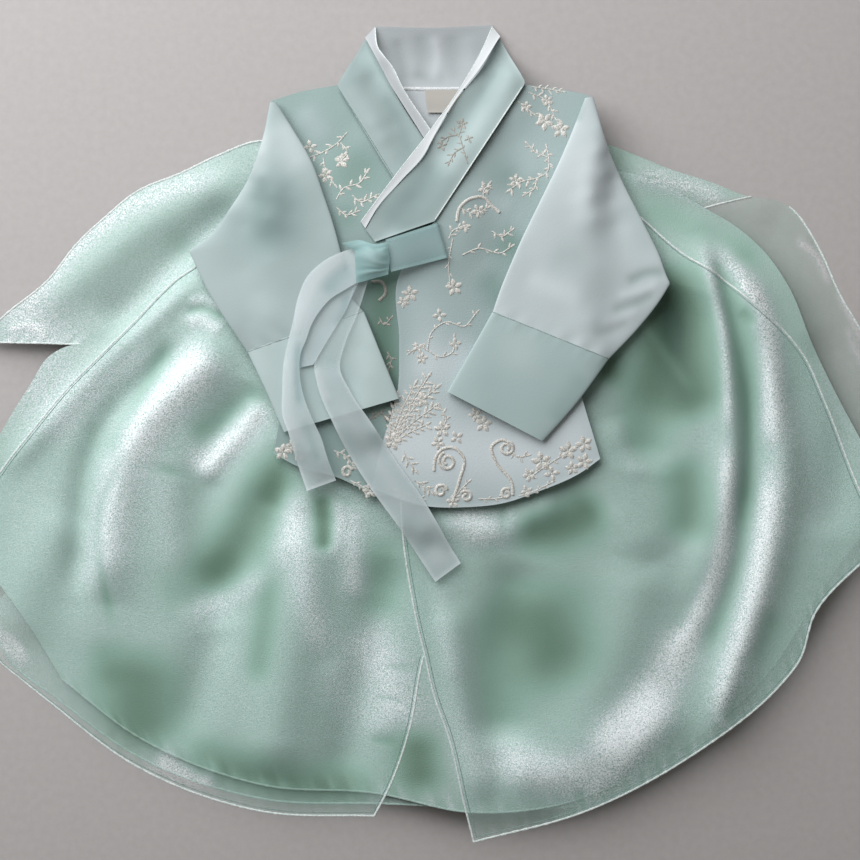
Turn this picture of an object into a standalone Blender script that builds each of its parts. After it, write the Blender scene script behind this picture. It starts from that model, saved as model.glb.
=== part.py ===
"""A baby's hanbok laid flat: a short jacket (jeogori) lying on a wide organza skirt (chima).

Lengths are millimetres until a mesh is made, X runs to the right of the laid garment, Y towards
its collar and Z up from the surface it lies on. The origin is under the middle of the garment.
Every piece of cloth is a thin closed wall. The skirt's layers share one folded surface and lie a
fixed step apart. Whatever is laid down later follows the heights of what is already there.
"""

from collections import namedtuple

import bmesh
import bpy
import numpy as np
from mathutils import Matrix, Vector
from mathutils.bvhtree import BVHTree

MM = 0.001

# Walls, and the air that stays between two of them.
WALL = 1.5
GAP = 0.5
LAYER_STEP = WALL + GAP
TUBE_AIR = 3.0
SEATED_GAP = 0.35
LIFT_STEP = 0.1

# The fan of points that the skirt's layers share: it opens from above the waistband.
FAN_Y = 279.0
FAN_ANGLES = (201.0, 342.0)
FAN_RADII = (50.0, 622.0)
FAN_COLUMNS = 56
FAN_ROWS = 11

# The skirt's billow: its height at the waistband, in the middle and at the hem. It falls away
# from BILLOW_START to BILLOW_START + BILLOW_FALL, as shares of its half width and half length.
WAIST_HEIGHT = 3.0
BILLOW_HEIGHT = 22.0
HEM_HEIGHT_LEFT = 6.0
HEM_HEIGHT_RIGHT = 15.0
HEM_BLEND_WIDTH = 500.0
BILLOW_CENTRE_Y = 20.0
BILLOW_HALF_WIDTH = 352.0
BILLOW_HALF_LENGTH = 325.0
BILLOW_START = 0.25
BILLOW_FALL = 0.85
WAIST_EDGE_Y = 215.0
WAIST_RISE = 110.0
WAIST_SHARE = 0.25
LEAST_HEIGHT = 3.0

# A fold's line is read at so many points, and it fades over a fifth of its length at each end,
# where a part of its height is left.
FOLD_POINTS = 24
FOLD_FADE = 5.0
FOLD_END = 0.25

# The jacket presses the skirt's folds flat where it lies on them, in an oval. They come back
# from PRESSED_START to PRESSED_START + PRESSED_FADE, as shares of its half sides.
JACKET_REST = (0.0, 90.0)
JACKET_REST_HALF = (125.0, 140.0)
PRESSED_START = 0.75
PRESSED_FADE = 0.4

# The grid of heights that pieces are laid on.
CELL = 2.5
PILE_HALF_X = 372.5
PILE_HALF_Y = 322.5

# How far round each point a cloth feels what it lies on, and how far that is evened out. The
# wide panels bridge more of it, and the small pieces at the neck follow it more closely.
TRIM = {"reach": 14.0, "blur": 7.0}
BODY = {"reach": 20.0, "blur": 7.0}
NECK = {"reach": 8.0, "blur": 3.0}
LOOP = {"reach": 20.0, "blur": 9.0}
KNOTTED = {"reach": 9.0, "blur": 5.0}

CURVE_STEPS = 30

Fold = namedtuple("Fold", "start middle end width height")
Edges = namedtuple("Edges", "left right top bottom")

FOLDS = (
    # Left of the skirt, from the wing round to the middle. A trough has a negative height.
    Fold((-131, 198), (-210, 160), (-300, 86), 15, 6),
    Fold((-142, 172), (-195, 126), (-245, 76), 14, -8),
    Fold((-172, 118), (-245, 52), (-322, -32), 10, 4),
    Fold((-176, 74), (-246, 0), (-268, -126), 12, -7),
    Fold((-150, 72), (-222, 2), (-246, -130), 16, 9),
    Fold((-135, 38), (-172, -64), (-160, -150), 20, -9),
    Fold((-127, 24), (-148, -6), (-172, -38), 8, 4),
    Fold((-124, -36), (-152, -126), (-190, -238), 18, -5),
    Fold((-84, -64), (-104, -156), (-120, -262), 24, 8),
    Fold((-32, -92), (-46, -172), (-68, -268), 18, -6),
    Fold((-268, -60), (-300, -110), (-318, -160), 22, 4),
    # Right of the skirt, from the flap round to the middle.
    Fold((142, 202), (205, 182), (262, 160), 14, 5),
    Fold((202, 150), (226, 0), (200, -130), 14, 8),
    Fold((214, 140), (242, -2), (232, -84), 8, -5),
    Fold((228, 128), (264, -20), (210, -236), 15, 8),
    Fold((196, 108), (170, 40), (157, -30), 20, -10),
    Fold((128, 10), (146, -50), (172, -96), 24, 4),
    Fold((294, 80), (312, 10), (300, -80), 18, -5),
    Fold((0, -66), (54, -72), (98, -50), 12, 4),
    Fold((158, -96), (142, -164), (98, -246), 24, 5),
    Fold((50, -256), (116, -250), (190, -206), 22, 6),
    Fold((68, -96), (52, -170), (54, -238), 20, -6),
    Fold((15, -126), (22, -200), (40, -280), 13, 4),
)

# The skirt's outlines. Each is a ring of edges, and an edge is a smooth curve through its points.
WAIST_LEFT = (-92, 206)
WAIST_RIGHT = (94, 206)

INNER_LAYERS = (
    (WAIST_RIGHT, WAIST_LEFT),
    (
        WAIST_LEFT,
        (-150, 158),
        (-226, 70),
        (-282, -20),
        (-292, -90),
        (-258, -150),
        (-190, -206),
        (-110, -234),
        (0, -242),
        (100, -238),
        (170, -212),
        (232, -160),
        (272, -90),
        (284, -20),
        (262, 56),
        (222, 122),
        (152, 178),
        WAIST_RIGHT,
    ),
)

UNDERSKIRT = (
    ((-268, -84), (-292, -100), (-316, -116), (-332, -138)),
    (
        (-332, -138),
        (-318, -172),
        (-283, -200),
        (-222, -244),
        (-124, -277),
        (-36, -280),
        (30, -282),
        (112, -280),
        (204, -228),
        (252, -190),
        (280, -136),
        (308, -104),
    ),
    ((308, -104), (280, -84), (250, -66)),
    (
        (250, -66),
        (216, -148),
        (150, -206),
        (60, -226),
        (-40, -228),
        (-130, -216),
        (-200, -176),
        (-268, -84),
    ),
)

LEFT_WING = (
    (
        WAIST_LEFT,
        (-126, 220),
        (-160, 209),
        (-187, 196),
        (-222, 181),
        (-245, 162),
        (-266, 142),
        (-287, 115),
        (-322, 87),
        (-341, 68),
    ),
    ((-341, 68), (-294, 67), (-240, 66), (-196, 70)),
    ((-196, 70), (-160, 100), (-110, 150), WAIST_LEFT),
)

RIGHT_WING = (
    (
        WAIST_RIGHT,
        (127, 218),
        (160, 207),
        (179, 199),
        (210, 189),
        (241, 177),
        (260, 173),
        (274, 169),
    ),
    (
        (274, 169),
        (283, 158),
        (294, 137),
        (308, 104),
        (322, 80),
        (340, 48),
        (355, 14),
    ),
    ((355, 14), (332, -2), (304, -8), (270, 0)),
    ((270, 0), (228, 70), (160, 130), WAIST_RIGHT),
)

MAIN_SKIRT = (
    (WAIST_RIGHT, WAIST_LEFT),
    (
        WAIST_LEFT,
        (-150, 156),
        (-205, 104),
        (-240, 82),
        (-261, 67),
        (-275, 64),
        (-287, 57),
        (-301, 36),
        (-322, 2),
        (-342, -40),
        (-346, -72),
        (-337, -98),
        (-322, -118),
        (-310, -134),
        (-278, -186),
    ),
    (
        (-278, -186),
        (-220, -230),
        (-125, -266),
        (-40, -272),
        (30, -286),
        (97, -280),
        (157, -256),
        (212, -220),
        (256, -178),
        (288, -128),
        (312, -92),
    ),
    (
        (312, -92),
        (334, -64),
        (338, -36),
        (324, -6),
        (308, 24),
        (287, 67),
        (269, 110),
        (251, 136),
        (231, 154),
        (208, 168),
        (172, 188),
        WAIST_RIGHT,
    ),
)

FRONT_LEFT = (
    ((8, 205), (-90, 206)),
    (
        (-90, 206),
        (-150, 148),
        (-178, 123),
        (-190, 115),
        (-203, 103),
        (-222, 83),
        (-250, 55),
        (-272, 33),
        (-298, 2),
        (-322, -28),
        (-344, -64),
        (-355, -102),
        (-348, -140),
        (-322, -175),
    ),
    (
        (-322, -175),
        (-286, -204),
        (-223, -251),
        (-125, -286),
        (-42, -289),
    ),
    ((-42, -289), (-31, -268), (-15, -222), (-4, -166), (4, -144), (7, -113), (8, -51), (8, 205)),
)

FRONT_RIGHT = (
    (
        (-25, 205),
        (-22, -10),
        (-20, -79),
        (-14, -120),
        (-10, -141),
        (-4, -166),
        (4, -200),
        (13, -225),
        (27, -284),
        (33, -308),
    ),
    (
        (33, -308),
        (116, -285),
        (212, -232),
        (260, -193),
        (277, -172),
        (289, -136),
        (322, -100),
        (341, -84),
    ),
    (
        (341, -84),
        (322, -42),
        (296, 24),
        (280, 58),
        (267, 74),
        (240, 98),
        (224, 111),
        (209, 122),
        (195, 130),
        (150, 168),
        WAIST_RIGHT,
    ),
    (WAIST_RIGHT, (-25, 205)),
)

# Cutters: how far apart the points of an outline are, and its scale at each height. The straight
# one cuts a layer, and the rounded one draws the hidden layers in towards their top.
OUTLINE_SPACING = 24.0
INNER_SPACING = 34.0
STRAIGHT = ((-5.0, 1.0), (90.0, 1.0))
ROUNDED = ((-5.0, 0.985), (2.0, 1.0), (10.0, 0.995), (60.0, 0.86))

SkirtLayer = namedtuple("SkirtLayer", "name outline level colour")

WINGS = (
    SkirtLayer("chima_left_wing", LEFT_WING, 0, "mint_organza"),
    SkirtLayer("chima_right_wing", RIGHT_WING, 0, "sheer_organza"),
)
SKIRT_LAYERS = (
    SkirtLayer("chima_main", MAIN_SKIRT, 1, "mint_organza"),
    SkirtLayer("chima_front_left", FRONT_LEFT, 2, "sheer_organza"),
    SkirtLayer("chima_front_right", FRONT_RIGHT, 3, "sheer_organza"),
)

# Panels of the jacket and the waistband: left and right edges run down, top and bottom ones across.
WAISTBAND = Edges(
    left=((-92, 214), (-91, 192)),
    right=((94, 214), (93, 192)),
    top=((-92, 214), (94, 214)),
    bottom=((-91, 192), (93, 192)),
)

JACKET_BACK = Edges(
    left=((-116, 246), (-104, 190), (-100, 120), (-102, 50), (-112, -13)),
    right=((117, 250), (104, 190), (101, 120), (104, 50), (121, -17)),
    top=((-116, 246), (-69, 258), (0, 262), (71, 258), (117, 250)),
    bottom=((-112, -13), (-68, -30), (0, -49), (54, -48), (121, -17)),
)

BACK_NECK_LINING = Edges(
    left=((-62, 258), (-50, 226), (-22, 186)),
    right=((64, 258), (50, 226), (20, 186)),
    top=((-62, 258), (0, 257), (64, 258)),
    bottom=((-22, 186), (0, 182), (20, 186)),
)

BACK_COLLAR = Edges(
    left=((-42, 307), (-50, 286), (-60, 259.5)),
    right=((47, 308), (54, 286), (62, 259.5)),
    top=((-42, 307), (3, 306), (47, 308)),
    bottom=((-60, 259.5), (0, 258.5), (62, 259.5)),
)

SIZE_LABEL = Edges(
    left=((-4, 257.5), (-2, 240)),
    right=((23, 257.5), (24, 240)),
    top=((-4, 257.5), (23, 257.5)),
    bottom=((-2, 240), (24, 240)),
)

UNDER_FRONT = Edges(
    left=((-119, 249), (-106, 190), (-102, 120), (-105, 50), (-117, -16)),
    right=((-66, 261), (-50, 231), (-37, 206), (-26, 189), (2, 140), (6, 60), (4, -52)),
    top=((-119, 249), (-100, 255), (-66, 261)),
    bottom=((-117, -16), (-98, -26), (-69, -34), (-44, -45), (4, -52)),
)

OVER_FRONT = Edges(
    left=((68, 261), (57, 239), (43, 216), (28, 195), (6, 161), (-18, 128), (-24, 114), (-23, 68),
          (-26, 20), (-34, -3), (-44, -42)),
    right=((120, 253), (107, 190), (104, 120), (108, 50), (127, -20)),
    top=((68, 261), (95, 258), (120, 253)),
    bottom=((-44, -42), (-5, -55), (28, -56), (55, -53), (79, -45), (113, -30), (127, -20)),
)

UNDER_COLLAR = Edges(
    left=((-49, 297), (-67, 263), (-70, 258), (-53, 231), (-40, 205), (-29, 189), (-8, 158)),
    right=((-41, 290), (-32, 264), (-21, 241), (-6.5, 217), (14, 190), (30, 168)),
    top=((-49, 297), (-41, 290)),
    bottom=((-8, 158), (12, 160), (30, 168)),
)

UNDER_DONGJEONG = Edges(
    left=((-49, 298), (-40.5, 282), (-31.5, 263), (-20.5, 241), (-6, 217), (10, 194)),
    right=((-41.5, 306.5), (-39, 289), (-25, 269), (-21.5, 260), (-2, 225), (14, 198)),
    top=((-49, 298), (-41.5, 306.5)),
    bottom=((10, 194), (14, 198)),
)

OVER_COLLAR = Edges(
    left=((47, 288), (41, 273), (25, 252), (15, 234), (4, 219), (-13.5, 192), (-33, 167), (-48, 151)),
    right=((52.5, 298), (71, 263), (69.5, 259), (58, 239), (42, 216), (28, 195), (6, 160), (-41, 142)),
    top=((47, 288), (52.5, 298)),
    bottom=((-48, 151), (-41, 142)),
)

OVER_DONGJEONG = Edges(
    left=((47, 307), (41, 292), (31, 275), (21, 258), (9, 239), (-2, 222), (-19.5, 202), (-32, 184.5),
          (-48, 162), (-52, 157)),
    right=((53, 299.5), (48, 286), (41.5, 273.5), (25.5, 252.5), (15.5, 235), (4, 219.5), (-13.5, 193),
           (-33, 168), (-48.5, 152)),
    top=((47, 307), (53, 299.5)),
    bottom=((-52, 157), (-48.5, 152)),
)

Panel = namedtuple("Panel", "name edges rows columns colour laid")

BAND = Panel("chima_waistband", WAISTBAND, 3, 12, "mint_organza", TRIM)

JACKET_PANELS = (
    Panel("jeogori_back", JACKET_BACK, 13, 10, "pale_mint", BODY),
    Panel("collar_back", BACK_COLLAR, 5, 7, "white_lining", NECK),
    Panel("neck_lining", BACK_NECK_LINING, 5, 7, "white_lining", NECK),
    Panel("size_label", SIZE_LABEL, 3, 3, "label_cotton", NECK),
    Panel("jeogori_under_front", UNDER_FRONT, 15, 8, "pale_mint", BODY),
    Panel("collar_under", UNDER_COLLAR, 12, 4, "pale_mint", NECK),
    Panel("dongjeong_under", UNDER_DONGJEONG, 12, 2, "white_lining", NECK),
    Panel("jeogori_over_front", OVER_FRONT, 15, 8, "pale_mint", BODY),
    Panel("collar_over", OVER_COLLAR, 14, 4, "pale_mint", NECK),
    Panel("dongjeong_over", OVER_DONGJEONG, 14, 2, "white_lining", NECK),
)

# A sleeve or a cuff is a flat tube between its fold edge and its underarm edge. Its sections are
# ovals whose height is the sine of the angle to the power OVAL_POWER.
OVAL_POWER = 0.5
OVAL_FLAT = 1e-9
Tube = namedtuple("Tube", "fold_edge under_edge stations")

LEFT_SLEEVE = Tube(
    fold_edge=((-115, 247), (-104, 229), (-88, 201), (-79, 176), (-72, 155), (-65, 128), (-59, 101),
               (-50, 90.5)),
    under_edge=((-122, 246), (-130, 216), (-149, 178), (-166, 149), (-180.5, 136), (-164, 105),
                (-148, 77), (-137, 60.5)),
    stations=11,
)
LEFT_CUFF = Tube(
    fold_edge=((-49, 89.5), (-36, 57), (-23, 25)),
    under_edge=((-136, 59.5), (-122, 30), (-109, 0)),
    stations=4,
)
RIGHT_SLEEVE = Tube(
    fold_edge=((116, 250), (108, 229), (97, 203), (82, 172), (67, 141), (58, 120), (52, 105), (47, 90)),
    under_edge=((122.5, 251), (133, 214), (144, 189), (161, 154), (171, 133), (179.5, 112), (156, 78),
                (134, 55)),
    stations=11,
)
RIGHT_CUFF = Tube(
    fold_edge=((46.3, 89), (30, 60), (13, 30)),
    under_edge=((133, 54), (108, 20), (84, -7)),
    stations=4,
)
AROUND = 16

SHORT_TAIL = Edges(
    left=((-52, 138), (-66, 134), (-81, 126), (-92, 115), (-98, 101), (-102, 82), (-105, 70), (-109, 51),
          (-110, 30), (-110, 13), (-105, -2), (-100, -20), (-92, -44)),
    right=((-53, 112), (-63, 106), (-74, 99), (-82, 90), (-88, 80), (-92, 69), (-96, 59), (-97, 45),
           (-95, 31), (-88, 11), (-81, -4), (-76, -20), (-70, -36)),
    top=((-52, 138), (-53, 112)),
    bottom=((-92, -44), (-70, -36)),
)

LONG_TAIL = Edges(
    left=((-55, 113), (-66, 86), (-77, 67), (-86, 51), (-84, 28), (-71, 2), (-53, -29), (-40, -48),
          (-21, -74), (-8, -94), (4, -112)),
    right=((-36, 113), (-46, 80), (-58, 60), (-67, 46), (-59, 30), (-43, 6), (-22, -26), (-7, -47),
           (5, -67), (15, -85), (23, -98)),
    top=((-55, 113), (-36, 113)),
    bottom=((4, -112), (23, -98)),
)

TAILS = (
    Panel("goreum_long_tail", LONG_TAIL, 22, 3, "aqua_ribbon", TRIM),
    Panel("goreum_short_tail", SHORT_TAIL, 22, 3, "aqua_ribbon", TRIM),
)

# The bow's one loop: the ribbon runs out from the knot, turns back and lies on itself.
LOOP_NEAR = ((-33, 143), (-29, 119))
LOOP_FAR = ((6, 156), (13.5, 130))
LOOP_AIR = 1.6
LOOP_TURN = 6
LOOP_STRAIGHT = 5

KNOT = Edges(
    left=((-64, 141), (-55, 128), (-55, 112)),
    right=((-30, 143), (-27, 131), (-29, 119)),
    top=((-64, 141), (-50, 140), (-30, 143)),
    bottom=((-55, 112), (-43, 114), (-29, 119)),
)
KNOT_ROWS = 6
KNOT_COLUMNS = 7
KNOT_CROWN = 3.5

CLOTH_ROUGHNESS = 0.55
SHARP_ANGLE = 0.7
CLOTH_COLOURS = {
    "mint_organza": (0.48, 0.68, 0.60),
    "sheer_organza": (0.62, 0.70, 0.66),
    "white_lining": (0.80, 0.81, 0.82),
    "aqua_ribbon": (0.45, 0.66, 0.66),
    "pale_mint": (0.58, 0.70, 0.70),
    "label_cotton": (0.72, 0.70, 0.64),
}


def curve(points, count):
    """Evenly spaced points on the smooth curve through the given ones.

    Between two given points it is a cubic whose slopes come from the neighbours of each.
    """
    given = np.array(points, float)
    at = np.concatenate([[0.0], np.cumsum(np.linalg.norm(np.diff(given, axis=0), axis=1))])
    slope = np.gradient(given, at, axis=0)
    fine = np.linspace(0.0, at[-1], CURVE_STEPS * len(given))
    span = np.clip(np.searchsorted(at, fine, side="right") - 1, 0, len(given) - 2)
    length = (at[span + 1] - at[span])[:, None]
    t = (fine - at[span])[:, None] / length
    dense = (
        (2 * t**3 - 3 * t**2 + 1) * given[span]
        + (t**3 - 2 * t**2 + t) * length * slope[span]
        + (3 * t**2 - 2 * t**3) * given[span + 1]
        + (t**3 - t**2) * length * slope[span + 1]
    )
    run = np.concatenate([[0.0], np.cumsum(np.linalg.norm(np.diff(dense, axis=0), axis=1))])
    even = np.linspace(0.0, run[-1], count)
    return np.stack([np.interp(even, run, dense[:, axis]) for axis in range(2)], axis=1)


def smoothstep(value):
    """0 below 0, 1 above 1 and an even rise between."""
    value = np.clip(value, 0.0, 1.0)
    return value * value * (3 - 2 * value)


def fold_height(x, y, fold):
    """One ridge or trough: a bell across a bent line, fading out over its two ends."""
    line = curve((fold.start, fold.middle, fold.end), FOLD_POINTS)
    away = np.hypot(x[..., None] - line[:, 0], y[..., None] - line[:, 1])
    along = away.argmin(axis=-1) / (FOLD_POINTS - 1)
    fade = smoothstep(along * FOLD_FADE + FOLD_END) * smoothstep((1 - along) * FOLD_FADE + FOLD_END)
    return fold.height * fade * np.exp(-((away.min(axis=-1) / fold.width) ** 2))


def skirt_height(x, y):
    """The folded surface that all layers of the skirt share, in mm above the floor."""
    out = np.hypot(x / BILLOW_HALF_WIDTH, (y - BILLOW_CENTRE_Y) / BILLOW_HALF_LENGTH)
    side = smoothstep(x / HEM_BLEND_WIDTH + 0.5)
    hem = HEM_HEIGHT_LEFT + (HEM_HEIGHT_RIGHT - HEM_HEIGHT_LEFT) * side
    billow = BILLOW_HEIGHT + (hem - BILLOW_HEIGHT) * smoothstep((out - BILLOW_START) / BILLOW_FALL)
    rise = smoothstep((WAIST_EDGE_Y - y) / WAIST_RISE)
    gathered = (WAIST_SHARE + (1 - WAIST_SHARE) * rise) * rise**WAIST_SHARE
    height = WAIST_HEIGHT + (billow - WAIST_HEIGHT) * gathered
    across = (x - JACKET_REST[0]) / JACKET_REST_HALF[0]
    along = (y - JACKET_REST[1]) / JACKET_REST_HALF[1]
    free = smoothstep((np.hypot(across, along) - PRESSED_START) / PRESSED_FADE)
    for fold in FOLDS:
        height = height + free * fold_height(x, y, fold)
    return np.maximum(height, LEAST_HEIGHT)


def material(name, colour):
    """A piece's own plain woven finish, in one of the garment's colours."""
    made = bpy.data.materials.new(name)
    made.use_nodes = True
    shader = made.node_tree.nodes["Principled BSDF"]
    shader.inputs["Base Color"].default_value = (*CLOTH_COLOURS[colour], 1.0)
    shader.inputs["Roughness"].default_value = CLOTH_ROUGHNESS
    return made


def solid(name, points, faces, colour):
    """An object from points in mm and faces, its faces turned outwards and shaded smooth."""
    mesh = bpy.data.meshes.new(name)
    mesh.from_pydata([tuple(point) for point in np.asarray(points) * MM], [], faces)
    body = bmesh.new()
    body.from_mesh(mesh)
    bmesh.ops.recalc_face_normals(body, faces=body.faces)
    body.to_mesh(mesh)
    body.free()
    mesh.shade_smooth()
    mesh.set_sharp_from_angle(angle=SHARP_ANGLE)
    mesh.materials.append(material(name, colour))
    made = bpy.data.objects.new(name, mesh)
    bpy.context.scene.collection.objects.link(made)
    return made


def sheet_faces(rows, columns, start, flip):
    """Two triangles for each cell of a grid of points, all cut along the same diagonal."""
    faces = []
    for row in range(rows - 1):
        for column in range(columns - 1):
            a = start + row * columns + column
            b, c, d = a + 1, a + columns + 1, a + columns
            for face in ((a, b, c), (a, c, d)):
                faces.append(face[::-1] if flip else face)
    return faces


def rim_faces(rows, columns, lower):
    """The faces round the edge of a wall, between its upper and its lower grid."""
    ring = list(range(columns - 1))
    ring += [row * columns + columns - 1 for row in range(rows - 1)]
    ring += [rows * columns - 1 - column for column in range(columns - 1)]
    ring += [(rows - 1 - row) * columns for row in range(rows - 1)]
    faces = []
    for here, following in zip(ring, ring[1:] + ring[:1]):
        faces.append((here, here + lower, following + lower))
        faces.append((here, following + lower, following))
    return faces


def wall(name, plan, underside, colour, crown=0.0):
    """A closed wall over a grid of plan points, from its underside up by the cloth's thickness."""
    rows, columns = plan.shape[:2]
    top = np.dstack([plan, underside + WALL + crown]).reshape(-1, 3)
    bottom = np.dstack([plan, underside]).reshape(-1, 3)
    count = rows * columns
    faces = sheet_faces(rows, columns, 0, False) + sheet_faces(rows, columns, count, True)
    faces += rim_faces(rows, columns, count)
    return solid(name, np.concatenate([top, bottom]), faces, colour)


def panel_plan(edges, rows, columns):
    """The plan points of a panel from its four edges.

    Lines drawn between opposite edges are blended and the corners, counted twice, are taken off.
    """
    down = np.linspace(0.0, 1.0, rows)[:, None, None]
    across = np.linspace(0.0, 1.0, columns)[None, :, None]
    left = curve(edges.left, rows)[:, None]
    right = curve(edges.right, rows)[:, None]
    top = curve(edges.top, columns)[None]
    bottom = curve(edges.bottom, columns)[None]
    corners = (
        (1 - across) * (1 - down) * top[:, :1]
        + across * (1 - down) * top[:, -1:]
        + (1 - across) * down * bottom[:, :1]
        + across * down * bottom[:, -1:]
    )
    return (1 - across) * left + across * right + (1 - down) * top + down * bottom - corners


def lift(pieces, height):
    """Raises pieces by a height in mm, or lowers them by a negative one."""
    for made in pieces:
        made.data.transform(Matrix.Translation((0.0, 0.0, height * MM)))
        made.data.update()
    bpy.context.view_layer.update()


class Pile:
    """The heights of all that has been laid down, in a square grid over the floor."""

    def __init__(self):
        self.x = np.arange(-PILE_HALF_X, PILE_HALF_X + CELL, CELL)
        self.y = np.arange(-PILE_HALF_Y, PILE_HALF_Y + CELL, CELL)
        self.top = np.zeros((len(self.y), len(self.x)))
        self.trees = []

    def looked_at(self, made, direction):
        """The grid cells that an object covers, and its height there seen along Z."""
        graph = bpy.context.evaluated_depsgraph_get()
        tree = BVHTree.FromObject(made, graph)
        corners = np.array([corner[:] for corner in made.evaluated_get(graph).bound_box]) / MM
        low, high = corners.min(axis=0), corners.max(axis=0)
        cells = []
        for row in np.flatnonzero((self.y >= low[1]) & (self.y <= high[1])):
            for column in np.flatnonzero((self.x >= low[0]) & (self.x <= high[0])):
                start = Vector((self.x[column] * MM, self.y[row] * MM, -direction))
                hit = tree.ray_cast(start, Vector((0, 0, direction)))[0]
                if hit is not None:
                    cells.append((row, column, hit.z / MM))
        rows, columns, heights = np.array(cells).T
        return rows.astype(int), columns.astype(int), heights

    def add(self, made):
        """Raises the grid to the top of an object, found by looking straight down on it."""
        rows, columns, heights = self.looked_at(made, -1)
        self.top[rows, columns] = np.maximum(self.top[rows, columns], heights)
        self.trees.append(BVHTree.FromObject(made, bpy.context.evaluated_depsgraph_get()))

    def cuts_into(self, made):
        """Whether a piece crosses anything laid down before it."""
        corners = [vertex.co for vertex in made.data.vertices]
        tree = BVHTree.FromPolygons(corners, [face.vertices for face in made.data.polygons])
        return any(tree.overlap(other) for other in self.trees)

    def settle(self, pieces):
        """Lowers sewn pieces together until one of them is just clear of what carries them."""
        bpy.context.view_layer.update()
        room = []
        for made in pieces:
            rows, columns, heights = self.looked_at(made, 1)
            room.append((heights - self.top[rows, columns]).min())
        if min(room) > SEATED_GAP:
            lift(pieces, -min(room))
            while any(self.cuts_into(made) for made in pieces):
                lift(pieces, LIFT_STEP)
            lift(pieces, SEATED_GAP)
        for made in pieces:
            self.add(made)

    def spread(self, reach, blur):
        """The grid, each cell raised to the highest within reach and then averaged over blur."""
        height = self.top
        for axis in (0, 1):
            steps = int(np.ceil((reach + blur) / CELL))
            height = np.max([np.roll(height, step, axis) for step in range(-steps, steps + 1)], axis=0)
            steps = int(blur / CELL)
            height = np.mean([np.roll(height, step, axis) for step in range(-steps, steps + 1)], axis=0)
        return height

    def under(self, plan, reach, blur):
        """How high a cloth lies at each plan point, a gap above the pile or on the bare floor."""
        height = self.spread(reach, blur)
        across = np.clip((plan[..., 0] + PILE_HALF_X) / CELL, 0, len(self.x) - 1.001)
        along = np.clip((plan[..., 1] + PILE_HALF_Y) / CELL, 0, len(self.y) - 1.001)
        column, row = across.astype(int), along.astype(int)
        s, t = across - column, along - row
        level = (
            (1 - s) * (1 - t) * height[row, column]
            + s * (1 - t) * height[row, column + 1]
            + (1 - s) * t * height[row + 1, column]
            + s * t * height[row + 1, column + 1]
        )
        return np.where(level > 0, level + GAP, 0.0)


def outline_prism(name, outline, spacing, profile):
    """A cutter: the outline as a column, scaled a little at each height of its profile."""
    ring = []
    for edge in outline:
        length = np.linalg.norm(np.diff(np.array(edge, float), axis=0), axis=1).sum()
        count = max(2, round(length / spacing) + 1)
        ring.extend(curve(edge, count)[:-1])
    ring = np.array(ring)
    middle = ring.mean(axis=0)
    count = len(ring)
    points = []
    for height, scale in profile:
        level = np.full((count, 1), float(height))
        points.append(np.hstack([middle + (ring - middle) * scale, level]))
    faces = [tuple(range(count))]
    for level in range(len(profile) - 1):
        for here in range(count):
            following = (here + 1) % count
            low = level * count
            faces.append((low + here, low + following, low + count + following, low + count + here))
    faces.append(tuple(range((len(profile) - 1) * count, len(profile) * count)))
    cutter = solid(name, np.concatenate(points), faces, "mint_organza")
    cutter.hide_render = True
    cutter.display_type = "WIRE"
    return cutter


def fan():
    """Plan points and heights of the fan that the skirt's layers share, rows running outwards."""
    radius = np.linspace(*FAN_RADII, FAN_ROWS)[:, None]
    angle = np.radians(np.linspace(*FAN_ANGLES, FAN_COLUMNS))[None, :]
    x = radius * np.cos(angle)
    y = FAN_Y + radius * np.sin(angle)
    return np.dstack([x, y]), skirt_height(x, y)


def skirt_layer(layer):
    """One layer of the skirt: the shared fan at its level, cut out along the layer's outline."""
    plan, height = fan()
    made = wall(layer.name, plan, height + layer.level * LAYER_STEP + GAP, layer.colour)
    cut_out(made, outline_prism(layer.name + "_outline", layer.outline, OUTLINE_SPACING, STRAIGHT))
    return made


def cut_out(made, cutter):
    """Keeps what lies inside the cutter."""
    cut = made.modifiers.new("outline", "BOOLEAN")
    cut.operation = "INTERSECT"
    cut.solver = "EXACT"
    cut.object = cutter


def inner_layers():
    """The hidden gathered layers as one rounded solid with a flat underside."""
    plan, height = fan()
    made = wall("chima_inner_layers", plan, np.zeros_like(height), "mint_organza", crown=height - WALL)
    cut_out(made, outline_prism("inner_outline", INNER_LAYERS, INNER_SPACING, ROUNDED))


def lay_panel(pile, panel):
    """A cloth panel laid on the pile."""
    plan = panel_plan(panel.edges, panel.rows, panel.columns)
    pile.settle([wall(panel.name, plan, pile.under(plan, **panel.laid), panel.colour)])


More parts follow.
